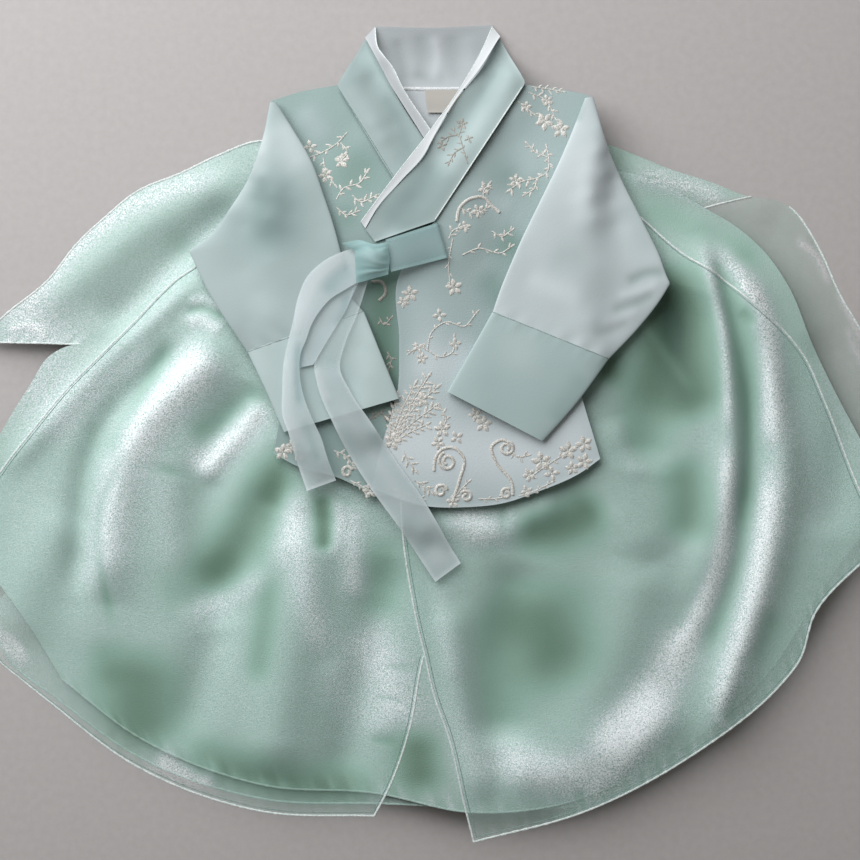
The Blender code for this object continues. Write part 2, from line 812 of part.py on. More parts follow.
def tube(pile, name, shape, colour):
    """A flattened tube, open at both ends, laid on the pile.

    Each section is a flattened oval between the two edges, and the inside is the same oval less
    the wall all round.
    """
    fold = curve(shape.fold_edge, shape.stations)[:, None]
    under = curve(shape.under_edge, shape.stations)[:, None]
    angle = np.linspace(0.0, 2 * np.pi, AROUND, endpoint=False)[None, :, None]
    middle = (fold + under) / 2
    half = (under - fold) / 2
    reach = np.linalg.norm(half, axis=2, keepdims=True)
    half_height = WALL + TUBE_AIR / 2
    rise = np.sign(np.sin(angle)) * np.abs(np.sin(angle)) ** OVAL_POWER
    rise[np.abs(np.sin(angle)) < OVAL_FLAT] = 0.0
    outer = middle + half * np.cos(angle)
    inner = middle + half * np.cos(angle) * (1 - WALL / reach)
    base = pile.under(outer, **TRIM)[..., None]
    outer = np.dstack([outer, base + half_height * (1 + rise)])
    inner = np.dstack([inner, base + half_height + (half_height - WALL) * rise])
    count = shape.stations * AROUND
    faces = []
    for station in range(shape.stations - 1):
        for here in range(AROUND):
            a = station * AROUND + here
            b = station * AROUND + (here + 1) % AROUND
            faces += [(a, b, b + AROUND), (a, b + AROUND, a + AROUND)]
            a += count
            b += count
            faces += [(b, a, a + AROUND), (b, a + AROUND, b + AROUND)]
    for first in (0, (shape.stations - 1) * AROUND):
        for here in range(AROUND):
            a = first + here
            b = first + (here + 1) % AROUND
            faces.append((a, b, b + count, a + count))
    points = np.concatenate([outer.reshape(-1, 3), inner.reshape(-1, 3)])
    return solid(name, points, faces, colour)


def loop(pile, name, colour):
    """The bow's loop: a ribbon that runs out, turns over its end and comes back on itself."""
    turn = np.linspace(-np.pi / 2, np.pi / 2, LOOP_TURN)[1:]
    radius = WALL + LOOP_AIR / 2
    length = np.linalg.norm(np.mean(LOOP_FAR, axis=0) - np.mean(LOOP_NEAR, axis=0))
    straight = np.linspace(0.0, length - radius, LOOP_STRAIGHT)
    skins = []
    for inset in (0.0, WALL):
        bend = radius - inset
        out = np.stack([straight, np.full(LOOP_STRAIGHT, inset)], axis=1)
        over = np.stack([length - radius + bend * np.cos(turn), radius + bend * np.sin(turn)], axis=1)
        back = np.stack([straight[-2::-1], np.full(LOOP_STRAIGHT - 1, 2 * radius - inset)], axis=1)
        skins.append(np.concatenate([out, over, back]))
    section = np.concatenate([skins[0], skins[1][::-1]])
    count = len(skins[0])
    share = section[:, :1] / length
    plans = [np.array(near) * (1 - share) + np.array(far) * share for near, far in zip(LOOP_NEAR, LOOP_FAR)]
    base = pile.under(np.array(plans), **LOOP).max(axis=0)
    sides = [np.column_stack([plan, base + section[:, 1]]) for plan in plans]
    total = len(section)
    faces = []
    for here in range(total):
        following = (here + 1) % total
        faces.append((here, following, following + total, here + total))
    for side in (0, total):
        for here in range(count - 1):
            faces.append((side + here, side + here + 1, side + total - 2 - here, side + total - 1 - here))
    pile.settle([solid(name, np.concatenate(sides), faces, colour)])


def skirt(pile):
    """The skirt's layers, lowest first, and the waistband that gathers them."""
    inner_layers()
    skirt_layer(SkirtLayer("chima_underskirt", UNDERSKIRT, 0, "sheer_organza"))
    layers = [skirt_layer(layer) for layer in WINGS + SKIRT_LAYERS]
    bpy.context.view_layer.update()
    for layer in layers:
        pile.add(layer)
    lay_panel(pile, BAND)


def jacket(pile):
    """The jacket's panels and collar, then its sleeves folded in over the front."""
    for panel in JACKET_PANELS:
        lay_panel(pile, panel)
    for side, sleeve, cuff in (("left", LEFT_SLEEVE, LEFT_CUFF), ("right", RIGHT_SLEEVE, RIGHT_CUFF)):
        pile.settle([
            tube(pile, "sleeve_" + side, sleeve, "pale_mint"),
            tube(pile, "cuff_" + side, cuff, "pale_mint"),
        ])


def ribbon(pile):
    """The goreum: its long tail lowest, then the short one, the loop and the knot."""
    for tail in TAILS:
        lay_panel(pile, tail)
    loop(pile, "goreum_loop", "aqua_ribbon")
    plan = panel_plan(KNOT, KNOT_ROWS, KNOT_COLUMNS)
    down = np.linspace(0.0, np.pi, KNOT_ROWS)[:, None]
    across = np.linspace(0.0, np.pi, KNOT_COLUMNS)[None, :]
    crown = KNOT_CROWN * np.sin(down) * np.sin(across)
    pile.settle([wall("goreum_knot", plan, pile.under(plan, **KNOTTED), "aqua_ribbon", crown)])


def clear_scene():
    for item in list(bpy.data.objects):
        bpy.data.objects.remove(item, do_unlink=True)


def main():
    clear_scene()
    pile = Pile()
    skirt(pile)
    jacket(pile)
    ribbon(pile)


main()
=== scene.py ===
# %% [markdown]
# # A baby's hanbok, laid flat
# The garment is a set: a short jacket (jeogori) tied with a ribbon, lying on a wide organza skirt
# (chima). It is seen from straight above. This lesson dresses the plain solids that carry it: each
# piece of cloth becomes a thin shell on the form of its solid, with its finer folds, hems and thread.
# The solids are loaded first, and everything that follows is placed by them.

# %% The frame
import math
from collections import namedtuple

import bpy
import numpy as np
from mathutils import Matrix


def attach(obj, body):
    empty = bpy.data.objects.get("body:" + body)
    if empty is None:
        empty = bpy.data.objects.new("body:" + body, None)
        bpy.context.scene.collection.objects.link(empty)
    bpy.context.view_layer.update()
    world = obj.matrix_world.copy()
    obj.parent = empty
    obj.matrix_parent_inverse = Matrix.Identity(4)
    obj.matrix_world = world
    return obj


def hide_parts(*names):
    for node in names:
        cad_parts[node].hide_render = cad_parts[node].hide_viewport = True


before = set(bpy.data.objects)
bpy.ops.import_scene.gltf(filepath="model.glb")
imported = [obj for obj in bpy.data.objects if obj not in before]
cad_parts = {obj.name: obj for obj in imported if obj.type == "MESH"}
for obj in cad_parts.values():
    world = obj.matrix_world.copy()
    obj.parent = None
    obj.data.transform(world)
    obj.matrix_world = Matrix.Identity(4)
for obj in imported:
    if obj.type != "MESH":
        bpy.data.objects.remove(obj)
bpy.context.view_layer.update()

MM = 0.001

# %% [markdown]
# ## Camera, floor and light
# The photo looks straight down, so the camera hangs over the middle of the garment. A long lens from
# far away keeps the raised folds from growing in the view. One large soft light stands at the upper
# left, near enough that the floor grows darker towards the lower right, and a pale sky fills the
# shadows.

# %% Camera
VIEW_WIDTH = 645.0
VIEW_CENTRE = (0.0, 1.5)
VIEW_PLANE = 24.0
CAMERA_DISTANCE = 2400.0
SENSOR = 36.0

camera = bpy.data.objects.new("camera", bpy.data.cameras.new("camera"))
camera.data.sensor_width = SENSOR
camera.data.lens = SENSOR * CAMERA_DISTANCE / VIEW_WIDTH
camera.data.clip_end = 20.0
camera.location = (VIEW_CENTRE[0] * MM, VIEW_CENTRE[1] * MM, (VIEW_PLANE + CAMERA_DISTANCE) * MM)
bpy.context.scene.collection.objects.link(camera)
bpy.context.scene.camera = camera
bpy.context.scene.view_settings.view_transform = "Standard"
print("lens in mm:", round(camera.data.lens, 1))

# %% Light
KEY_PLACE = (-0.78, 1.10, 0.96)
KEY_SIZE = 1.8
KEY_POWER = 47.0
KEY_COLOUR = (0.985, 0.99, 1.0)
FILL_COLOUR = (1.0, 0.965, 0.91, 1.0)
FILL_STRENGTH = 0.18

# A square soft light that faces the garment.
window = bpy.data.objects.new("window", bpy.data.lights.new("window", "AREA"))
window.data.size = KEY_SIZE
window.data.energy = KEY_POWER
window.data.color = KEY_COLOUR
window.location = KEY_PLACE
away = np.array(KEY_PLACE) / np.linalg.norm(KEY_PLACE)
window.rotation_euler = (math.acos(away[2]), 0.0, math.atan2(away[1], away[0]) + math.pi / 2)
bpy.context.scene.collection.objects.link(window)

world = bpy.data.worlds.new("room")
world.use_nodes = True
sky = world.node_tree.nodes["Background"]
sky.inputs["Color"].default_value = FILL_COLOUR
sky.inputs["Strength"].default_value = FILL_STRENGTH
bpy.context.scene.world = world
print("window in W:", KEY_POWER, "sky:", FILL_STRENGTH)

# %% [markdown]
# ## Colours and nodes
# Colours are written as sRGB hex values, as a dyer's chart would give them, and one function turns
# them to the linear numbers that shaders need. One more function adds a shader node.

# %% Colour and node helpers


def colour(hex_value):
    """An sRGB hex value as linear red, green, blue and a full alpha."""
    channels = np.array([int(hex_value[at:at + 2], 16) / 255 for at in (1, 3, 5)])
    linear = np.where(channels <= 0.04045, channels / 12.92, ((channels + 0.055) / 1.055) ** 2.4)
    return (*linear.tolist(), 1.0)


def add(tree, kind, inputs=(), **settings):
    """Adds a shader node: settings are its properties, and inputs are its sockets' values or links."""
    made = tree.nodes.new("ShaderNode" + kind)
    for name, value in settings.items():
        setattr(made, name, value)
    for name, value in dict(inputs).items():
        if isinstance(value, bpy.types.NodeSocket):
            tree.links.new(value, made.inputs[name])
        else:
            made.inputs[name].default_value = value
    return made


def ramp(tree, factor, stops):
    """A colour ramp through (place, hex) stops, read at factor."""
    made = add(tree, "ValToRGB", {"Fac": factor})
    while len(made.color_ramp.elements) < len(stops):
        made.color_ramp.elements.new(0.5)
    for element, (place, hex_value) in zip(made.color_ramp.elements, stops):
        element.position = place
        element.color = colour(hex_value)
    return made.outputs["Color"]


def new_material(name):
    """An empty material with its shader, ready for its nodes."""
    made = bpy.data.materials.new(name)
    made.use_nodes = True
    return made, made.node_tree, made.node_tree.nodes["Principled BSDF"]


# %% Floor
FLOOR_HALF = 3.0


def floor_paper():
    """A matt warm grey board: pressed pulp scatters light evenly, with a faint mottle."""
    made, tree, shader = new_material("matt_board")
    place = add(tree, "TexCoord").outputs["Object"]
    mottle = add(tree, "TexNoise", {"Vector": place, "Scale": 180.0, "Detail": 3.0}).outputs["Fac"]
    tree.links.new(ramp(tree, mottle, ((0.3, "#B1ADAC"), (0.7, "#B6B2B1"))), shader.inputs["Base Color"])
    shader.inputs["Roughness"].default_value = 0.9
    return made


corners = [(-FLOOR_HALF, -FLOOR_HALF, 0), (FLOOR_HALF, -FLOOR_HALF, 0), (FLOOR_HALF, FLOOR_HALF, 0),
           (-FLOOR_HALF, FLOOR_HALF, 0)]
floor_mesh = bpy.data.meshes.new("floor")
floor_mesh.from_pydata(corners, [], [(0, 1, 2, 3)])
floor_mesh.materials.append(floor_paper())
floor = bpy.data.objects.new("floor", floor_mesh)
bpy.context.scene.collection.objects.link(floor)
print("floor side in m:", 2 * FLOOR_HALF)

# %% [markdown]
# ## The cloths
# Organza is a sheer plain weave of fine twisted yarn; here a satin-faced one, so that its ridges
# catch the light in bands with a sparkling grain. Over another layer it deepens to green in the
# hollows, where little light comes through. Here those bright bands and green hollows are painted:
# each point of the cloth carries a number, its tone, from 0 in the deepest hollow, a painted shade, to
# 1 on the brightest ridge, a painted highlight, and a ramp turns it to a colour. The grain is really
# the yarn, 0.1 mm wide, and is drawn several times as coarse so that it shows; its specks are painted
# into the colour only where the tone is light, as painted glints.

# %% Cloth finish
GRAIN = 950.0
WEAVE = 1500.0
CLOUD = 16.0
CLOUD_DEPTH = 0.12
# The lightness above which the yarn's specks are painted in as glints.
GLINT_FROM = 0.45
SHEEN = 0.3
SHEEN_ROUGHNESS = 0.4
YARN_RISE = 0.0004
SLOTS = {}


def cloth(name, slot, stops, roughness, sheer=False, glint_grain=0.15, weave=0.1, sparkle=0.0, specular=0.3):
    """A woven finish: the tone, painted highlight and painted shade, picks its colour, and glint grain,
    weave and sparkle set how it breaks the light.

    The yarn's specks are painted into the colour only where the tone is light, as painted glints on the
    ridges of a satin face: their strength is the tone's excess over the threshold set above, and nothing
    below that. A sheer cloth's points carry its cover.
    """
    made, tree, shader = new_material(name)
    SLOTS[name] = slot
    place = add(tree, "TexCoord").outputs["Object"]
    # The tone attribute holds painted highlight and painted shade.
    tone = add(tree, "Attribute", attribute_name="tone").outputs["Fac"]
    cloud = add(tree, "TexNoise", {"Vector": place, "Scale": CLOUD, "Detail": 2.0}).outputs["Fac"]
    fine = add(tree, "TexNoise", {"Vector": place, "Scale": GRAIN, "Detail": 1.0}).outputs["Fac"]
    mixed = add(tree, "Math", {0: cloud, 1: CLOUD_DEPTH, 2: -CLOUD_DEPTH / 2},
                operation="MULTIPLY_ADD").outputs[0]
    painted_light_and_cloud = add(tree, "Math", {0: tone, 1: mixed}, operation="ADD").outputs[0]
    speck = add(tree, "Math", {0: fine, 1: 2 * glint_grain, 2: -glint_grain}, operation="MULTIPLY_ADD").outputs[0]
    # Painted glints: the specks show only where the tone, painted light, is above the threshold.
    excess = add(tree, "Math", {0: painted_light_and_cloud, 1: GLINT_FROM}, operation="SUBTRACT", use_clamp=True).outputs[0]
    painted_glints = add(tree, "Math", {0: speck, 1: excess}, operation="MULTIPLY").outputs[0]
    shade = add(tree, "Math", {0: painted_light_and_cloud, 1: painted_glints}, operation="ADD", use_clamp=True).outputs[0]
    tree.links.new(ramp(tree, shade, stops), shader.inputs["Base Color"])
    threads = add(tree, "TexNoise", {"Vector": place, "Scale": WEAVE, "Detail": 0.0}).outputs["Fac"]
    rough = add(tree, "Math", {0: fine, 1: -2 * sparkle, 2: roughness + sparkle},
                operation="MULTIPLY_ADD").outputs[0]
    tree.links.new(rough, shader.inputs["Roughness"])
    both = add(tree, "Math", {0: fine, 1: threads}, operation="ADD").outputs[0]
    bump = add(tree, "Bump", {"Height": both, "Strength": weave, "Distance": YARN_RISE})
    tree.links.new(bump.outputs["Normal"], shader.inputs["Normal"])
    shader.inputs["Sheen Weight"].default_value = SHEEN
    shader.inputs["Sheen Roughness"].default_value = SHEEN_ROUGHNESS
    shader.inputs["Specular IOR Level"].default_value = specular
    if sheer:
        thick = add(tree, "Attribute", attribute_name="cover").outputs["Fac"]
        tree.links.new(thick, shader.inputs["Alpha"])
    return made


# Each ramp runs from the cloth in painted shade at 0 to the cloth under a painted highlight at 1.
MINT_SHADE_TO_HIGHLIGHT = ((0.0, "#4C685B"), (0.22, "#71907F"), (0.42, "#94B4A8"), (0.62, "#B4C7C4"), (0.8, "#CFD8DA"),
              (1.0, "#F4F6F8"))
mint_satin = cloth("mint_satin_organza", "mint_organza", MINT_SHADE_TO_HIGHLIGHT, 0.54, glint_grain=2.6, weave=0.5, sparkle=0.3,
                   specular=0.4)
sheer_mint = cloth("sheer_mint_organza", "sheer_organza", MINT_SHADE_TO_HIGHLIGHT, 0.54, sheer=True, glint_grain=4.5, weave=0.7,
                   sparkle=0.3, specular=0.4)
jacket_gauze = cloth("jacket_gauze", "embroidered_mint",
                     ((0.0, "#527364"), (0.3, "#829B96"), (0.6, "#A2B3B4"), (1.0, "#CAD4D8")), 0.6,
                     glint_grain=0.12, weave=0.25, specular=0.5)
sleeve_silk = cloth("sleeve_silk", "pale_mint",
                    ((0.0, "#728786"), (0.35, "#95A7A6"), (0.65, "#AEBBBC"), (1.0, "#CDD6DA")), 0.6,
                    glint_grain=0.06, weave=0.15)
cuff_silk = cloth("cuff_silk", "pale_mint",
                  ((0.0, "#728A88"), (0.35, "#90A8A6"), (0.65, "#A8BBBA"), (1.0, "#C6D3D4")), 0.6,
                  glint_grain=0.06, weave=0.15)
white_cotton = cloth("white_cotton_lawn", "white_lining",
                     ((0.0, "#858D8E"), (0.5, "#AFB5B8"), (1.0, "#DDE0E2")), 0.7, glint_grain=0.06, weave=0.2)
aqua_ribbon = cloth("aqua_ribbon_organza", "aqua_ribbon",
                    ((0.0, "#5F908F"), (0.4, "#93B5B5"), (0.7, "#B4CBCD"), (1.0, "#DDE7EA")), 0.5,
                    sheer=True, glint_grain=0.08, weave=0.2)
label_tape = cloth("woven_label_tape", "label_cotton", ((0.0, "#8E8B85"), (1.0, "#BDBAB4")), 0.7, glint_grain=0.06,
                   specular=0.5)
print("cloths:", [item.name for item in bpy.data.materials])


# %% Thread finish
TWIST = 1100.0
PLY_RISE = 0.0003
THREAD_ROUGHNESS = 0.55
THREAD_SHEEN = 0.4


def thread(name, dark, light):
    """Twisted embroidery or sewing thread: its plies show as fine bands of light and dark."""
    made, tree, shader = new_material(name)
    place = add(tree, "TexCoord").outputs["Object"]
    twist = add(tree, "TexNoise", {"Vector": place, "Scale": TWIST, "Detail": 1.0}).outputs["Fac"]
    tree.links.new(ramp(tree, twist, ((0.35, dark), (0.65, light))), shader.inputs["Base Color"])
    bump = add(tree, "Bump", {"Height": twist, "Strength": 0.5, "Distance": PLY_RISE})
    tree.links.new(bump.outputs["Normal"], shader.inputs["Normal"])
    shader.inputs["Roughness"].default_value = THREAD_ROUGHNESS
    shader.inputs["Sheen Weight"].default_value = THREAD_SHEEN
    return made


silver_thread = thread("silver_beige_thread", "#A4A29B", "#E2E1DB")
faded_thread = thread("brown_grey_thread", "#7D7C75", "#A9A9A2")
# Pale hem thread for the rolled hems; the same thread also draws the painted highlight on the collar's rolled
# edge.
hem_and_highlight_thread = thread("mint_hem_thread", "#B7C6C3", "#EDF3F2")
white_thread = thread("white_seam_thread", "#B9BEC0", "#D9DDDF")
deep_thread = thread("deep_mint_thread", "#8DAAA1", "#B2C8C2")
# Grey seam thread for the stitch lines; the same thread also draws the painted shade in the collar seams'
# grooves.
seam_and_shade_thread = thread("grey_seam_thread", "#66807B", "#8CA09D")
silk_thread = thread("pale_silk_thread", "#8C9F9D", "#AEBEBD")
band_cloth = thread("mint_band_cloth", "#86A699", "#A9C4BB")
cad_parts["chima_waistband"].material_slots[0].material = band_cloth

# %% [markdown]
# ## Curves and shells
# A few functions make all the cloth. An edge is a smooth curve through a few chosen points. A panel is
# filled in between its four edges. A shell gives a sheet of points a small thickness and closes it
# round its rim, so that it is a real solid skin.

# %% Curves
CURVE_FINENESS = 30
RUN_POINTS = 200


def run_along(points):
    """How far along a line of points each one lies."""
    return np.concatenate([[0.0], np.cumsum(np.linalg.norm(np.diff(points, axis=0), axis=1))])


def spaced(points, count):
    """Evenly spaced points on a line of points."""
    along = run_along(points)
    even = np.linspace(0.0, along[-1], count)
    return np.stack([np.interp(even, along, values) for values in points.T], axis=1)


def curve(points, count):
    """Evenly spaced points on the smooth curve through the given ones.

    Between two given points it is a cubic whose slopes come from the neighbours of each.
    """
    given = np.array(points, float)
    at = run_along(given)
    slope = np.gradient(given, at, axis=0)
    fine = np.linspace(0.0, at[-1], CURVE_FINENESS * len(given))
    span = np.clip(np.searchsorted(at, fine, side="right") - 1, 0, len(given) - 2)
    length = (at[span + 1] - at[span])[:, None]
    t = (fine - at[span])[:, None] / length
    dense = (
        (2 * t**3 - 3 * t**2 + 1) * given[span]
        + (t**3 - 2 * t**2 + t) * length * slope[span]
        + (3 * t**2 - 2 * t**3) * given[span + 1]
        + (t**3 - t**2) * length * slope[span + 1]
    )
    return spaced(dense, count)


def outline(points, count):
    """Evenly spaced points on an edge: smooth runs that meet in a sharp corner at each repeated point."""
    given = np.array(points, float)
    cuts = np.flatnonzero((given[1:] == given[:-1]).all(axis=1)) + 1
    return spaced(np.concatenate([curve(run, RUN_POINTS) for run in np.split(given, cuts)]), count)


def smoothstep(value):
    """0 below 0, 1 above 1 and an even rise between."""
    value = np.clip(value, 0.0, 1.0)
    return value * value * (3 - 2 * value)


def near_line(x, y, line):
    """For each point its distance to a bent line, and how far along the line the nearest place is."""
    best = np.full(x.shape, np.inf)
    along = np.zeros(x.shape)
    pieces = len(line) - 1
    for index, (start, end) in enumerate(zip(line[:-1], line[1:])):
        step = end - start
        share = np.clip(((x - start[0]) * step[0] + (y - start[1]) * step[1]) / (step @ step), 0.0, 1.0)
        away = np.hypot(x - start[0] - share * step[0], y - start[1] - share * step[1])
        closer = away < best
        best = np.where(closer, away, best)
        along = np.where(closer, (index + share) / pieces, along)
    return best, along


Edges = namedtuple("Edges", "left right top bottom")


def edges(left, right, top=None, bottom=None):
    """The four edges of a panel: a top or bottom that isn't given runs straight between the sides."""
    return Edges(left, right, top or (left[0], right[0]), bottom or (left[-1], right[-1]))


def panel_plan(cut, rows, columns):
    """The plan points of a panel from its four edges.

    Lines drawn between opposite edges are blended and the corners, counted twice, are taken off.
    """
    down = np.linspace(0.0, 1.0, rows)[:, None, None]
    across = np.linspace(0.0, 1.0, columns)[None, :, None]
    left, right = outline(cut.left, rows)[:, None], outline(cut.right, rows)[:, None]
    top, bottom = outline(cut.top, columns)[None], outline(cut.bottom, columns)[None]
    twice = (
        (1 - across) * (1 - down) * top[:, :1]
        + across * (1 - down) * top[:, -1:]
        + (1 - across) * down * bottom[:, :1]
        + across * down * bottom[:, -1:]
    )
    return (1 - across) * left + across * right + (1 - down) * top + down * bottom - twice


def rim_distance(plan):
    """How far each point of a panel lies from its four edges, measured along its rows and columns."""
    down = np.linalg.norm(np.diff(plan, axis=0, prepend=plan[:1]), axis=2).cumsum(axis=0)
    across = np.linalg.norm(np.diff(plan, axis=1, prepend=plan[:, :1]), axis=2).cumsum(axis=1)
    return Edges(across, across[:, -1:] - across, down, down[-1:] - down)


# %% Shells
FLOOR_CLEARANCE = 0.05
SHARP_ANGLE = 1.0


def grid_faces(rows, columns, start=0, flip=False, around=False):
    """The quads of a grid of points, closed on itself across when around is set."""
    column = np.arange(columns if around else columns - 1)
    corner = start + np.arange(rows - 1)[:, None] * columns + column
    beside = start + np.arange(rows - 1)[:, None] * columns + (column + 1) % columns
    quads = np.stack([corner, corner + columns, beside + columns, beside], axis=-1).reshape(-1, 4)
    return quads[:, ::-1] if flip else quads


def rim_faces(rows, columns, lower):
    """The quads round the edge of a shell, between its upper and its lower grid."""
    ring = np.concatenate([
        np.arange(columns - 1),
        np.arange(rows - 1) * columns + columns - 1,
        rows * columns - 1 - np.arange(columns - 1),
        (rows - 1 - np.arange(rows - 1)) * columns,
    ])
    following = np.roll(ring, -1)
    return np.stack([ring, following, following + lower, ring + lower], axis=-1)


def piece(name, points, faces, finish, slot=None, attributes=(), replaces=(), shades=True):
    """A finished piece from points in mm and quads, riding on the garment's one body.

    A sheer cloth scatters light on to what lies below, so with shades off it throws no shadow of its own.
    """
    placed = np.array(points, float)
    placed[:, 2] = np.maximum(placed[:, 2], FLOOR_CLEARANCE)
    mesh = bpy.data.meshes.new(name)
    mesh.from_pydata((placed * MM).tolist(), [], np.asarray(faces).tolist())
    mesh.shade_smooth()
    mesh.set_sharp_from_angle(angle=SHARP_ANGLE)
    for label, values in dict(attributes).items():
        mesh.attributes.new(label, "FLOAT", "POINT").data.foreach_set("value", np.asarray(values, np.float32))
    mesh.materials.append(finish)
    made = bpy.data.objects.new(name, mesh)
    made.visible_shadow = shades
    bpy.context.scene.collection.objects.link(made)
    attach(made, "root")
    if replaces:
        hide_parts(*replaces)
    return made


def declare_sheet(made):
    """Reads the area of each face of a thin closed skin and does nothing more with them. A skin's two sides
    are one layer of cloth, so its cut is half its surface.
    """
    areas = np.empty(len(made.data.polygons), np.float32)
    made.data.polygons.foreach_get("area", areas)


def skin(name, upper, lower, finish, tone, cover=None, **more):
    """A closed skin between two grids of points, joined round their rim.

    Cover is the share of light that the whole cloth stops, so each of its two sides stops less.
    """
    rows, columns = upper.shape[:2]
    count = rows * columns
    faces = np.concatenate([
        grid_faces(rows, columns),
        grid_faces(rows, columns, start=count, flip=True),
        rim_faces(rows, columns, count),
    ])
    attributes = {"tone": np.tile(np.broadcast_to(tone, (rows, columns)).ravel(), 2)}
    if cover is not None:
        side = 1 - np.sqrt(1 - np.clip(np.broadcast_to(cover, (rows, columns)), 0.0, 1.0))
        attributes["cover"] = np.tile(side.ravel(), 2)
    points = np.concatenate([upper.reshape(-1, 3), lower.reshape(-1, 3)])
    return piece(name, points, faces, finish, None, attributes, **more)


def shell(name, plan, top, thick, finish, tone, cover=None, rests_on=(), held="laid", with_pieces=(), **more):
    """A sheet of cloth whose upper side lies at top over the plan, and whose lower side is thick below."""
    made = skin(name, np.dstack([plan, top]), np.dstack([plan, top - thick]), finish, tone, cover, **more)
    declare_sheet(made)
    return made


# %% Thread runs
THREAD_SIDES = 6


def round_run(path, radius, flat=1.0):
    """A round thread along a path: at each point a ring across the path, flat times as high as wide."""
    path = np.asarray(path, float)
    radius = np.broadcast_to(radius, len(path))[:, None, None]
    ahead = np.gradient(path, axis=0)
    ahead /= np.linalg.norm(ahead, axis=1, keepdims=True) + 1e-12
    side = np.cross(ahead, (0.0, 0.0, 1.0))
    side /= np.linalg.norm(side, axis=1, keepdims=True) + 1e-12
    over = np.cross(side, ahead)
    angle = np.linspace(0.0, 2 * np.pi, THREAD_SIDES, endpoint=False)[None, :, None]
    rings = path[:, None] + radius * (np.cos(angle) * side[:, None] + flat * np.sin(angle) * over[:, None])
    last = (len(path) - 1) * THREAD_SIDES
    caps = np.array([(0, 1, 2, 3), (0, 3, 4, 5)])
    faces = [grid_faces(len(path), THREAD_SIDES, around=True), caps, last + caps[:, ::-1]]
    return rings.reshape(-1, 3), np.concatenate(faces)


def joined(parts):
    """Several (points, faces) pairs as one."""
    starts = np.cumsum([0] + [len(points) for points, faces in parts[:-1]])
    faces = [faces + start for start, (points, faces) in zip(starts, parts)]
    return np.concatenate([points for points, faces in parts]), np.concatenate(faces)


# %% [markdown]
# ## The skirt's folded surface
# All layers of the skirt billow together, so they share one height for each place on the floor: low
# at the waistband, highest in the middle, then falling to the hem, and flat where the jacket presses
# on it. A fold is a bell across a bent line that fades out over its two ends. A ridge stands up and
# carries a painted highlight; a trough sinks and is painted deep green, a painted shade. Some folds
# have no height and are only a stretch of painted light or painted shade.

# %% Surface sizes
WALL = 1.5
LAYER_GAP = 0.5
LAYER_STEP = WALL + LAYER_GAP
WAIST_HEIGHT = 3.0
BILLOW_HEIGHT = 22.0
HEM_HEIGHT_LEFT = 6.0
HEM_HEIGHT_RIGHT = 15.0
BILLOW_CENTRE_Y = 20.0
BILLOW_HALF_WIDTH = 352.0
BILLOW_HALF_LENGTH = 325.0
WAIST_EDGE_Y = 215.0
WAIST_RISE = 110.0
LEAST_HEIGHT = 3.0
SIDE_CHANGE = 250.0
BILLOW_FLAT = 0.25
BILLOW_FALL = 0.85
WAIST_SHARE = 0.25
WAIST_ROUND = 0.25
FOLD_BLUNT = 0.25
JACKET_REST = (0.0, 90.0)
JACKET_REST_HALF = (125.0, 140.0)
JACKET_REST_RIM = 0.75
JACKET_REST_RISE = 0.4

# %% Fold tables
Fold = namedtuple("Fold", "start middle end width height tone")


def folds(*rows):
    """Folds from rows of numbers: x and y of the start, middle and end, then width, height and tone: a
    painted highlight above 0 and a painted shade below.
    """
    return [Fold(row[0:2], row[2:4], row[4:6], *row[6:]) for row in rows]


LARGE_FOLDS = folds(
    (-131, 198, -210, 160, -300, 86, 17, 5, -0.04), (-142, 172, -195, 126, -245, 76, 15, -7, 0.04),
    (-172, 118, -245, 52, -322, -32, 10, 4, 0.05), (-176, 74, -246, 0, -268, -126, 12, -7, -0.08),
    (-150, 72, -222, 2, -246, -130, 20, 8, 0.16), (-135, 38, -172, -64, -160, -150, 20, -8, -0.02),
    (-127, 24, -148, -6, -172, -38, 8, 4, 0.15), (-124, -36, -152, -126, -190, -238, 18, -5, 0.0),
    (-84, -64, -104, -156, -120, -262, 24, 8, 0.0), (-32, -92, -46, -172, -68, -268, 18, -6, 0.0),
    (-268, -60, -300, -110, -318, -160, 22, 4, 0.0), (142, 202, 205, 182, 262, 160, 14, 5, 0.05),
    (202, 150, 226, 0, 200, -130, 14, 7, 0.0), (214, 140, 242, -2, 232, -84, 8, -5, -0.10),
    (228, 128, 264, -20, 210, -236, 15, 8, 0.10), (196, 108, 170, 40, 157, -30, 22, -6, -0.16),
    (128, 10, 146, -50, 172, -96, 24, 4, 0.0), (294, 80, 312, 10, 300, -80, 18, -4, 0.04),
    (0, -66, 54, -72, 98, -50, 12, 4, 0.10), (158, -96, 142, -164, 98, -246, 24, 5, 0.0),
    (50, -256, 116, -250, 190, -206, 22, 6, 0.0), (68, -96, 52, -170, 54, -238, 20, -6, -0.10),
    (15, -126, 22, -200, 40, -280, 13, 4, 0.05),
)

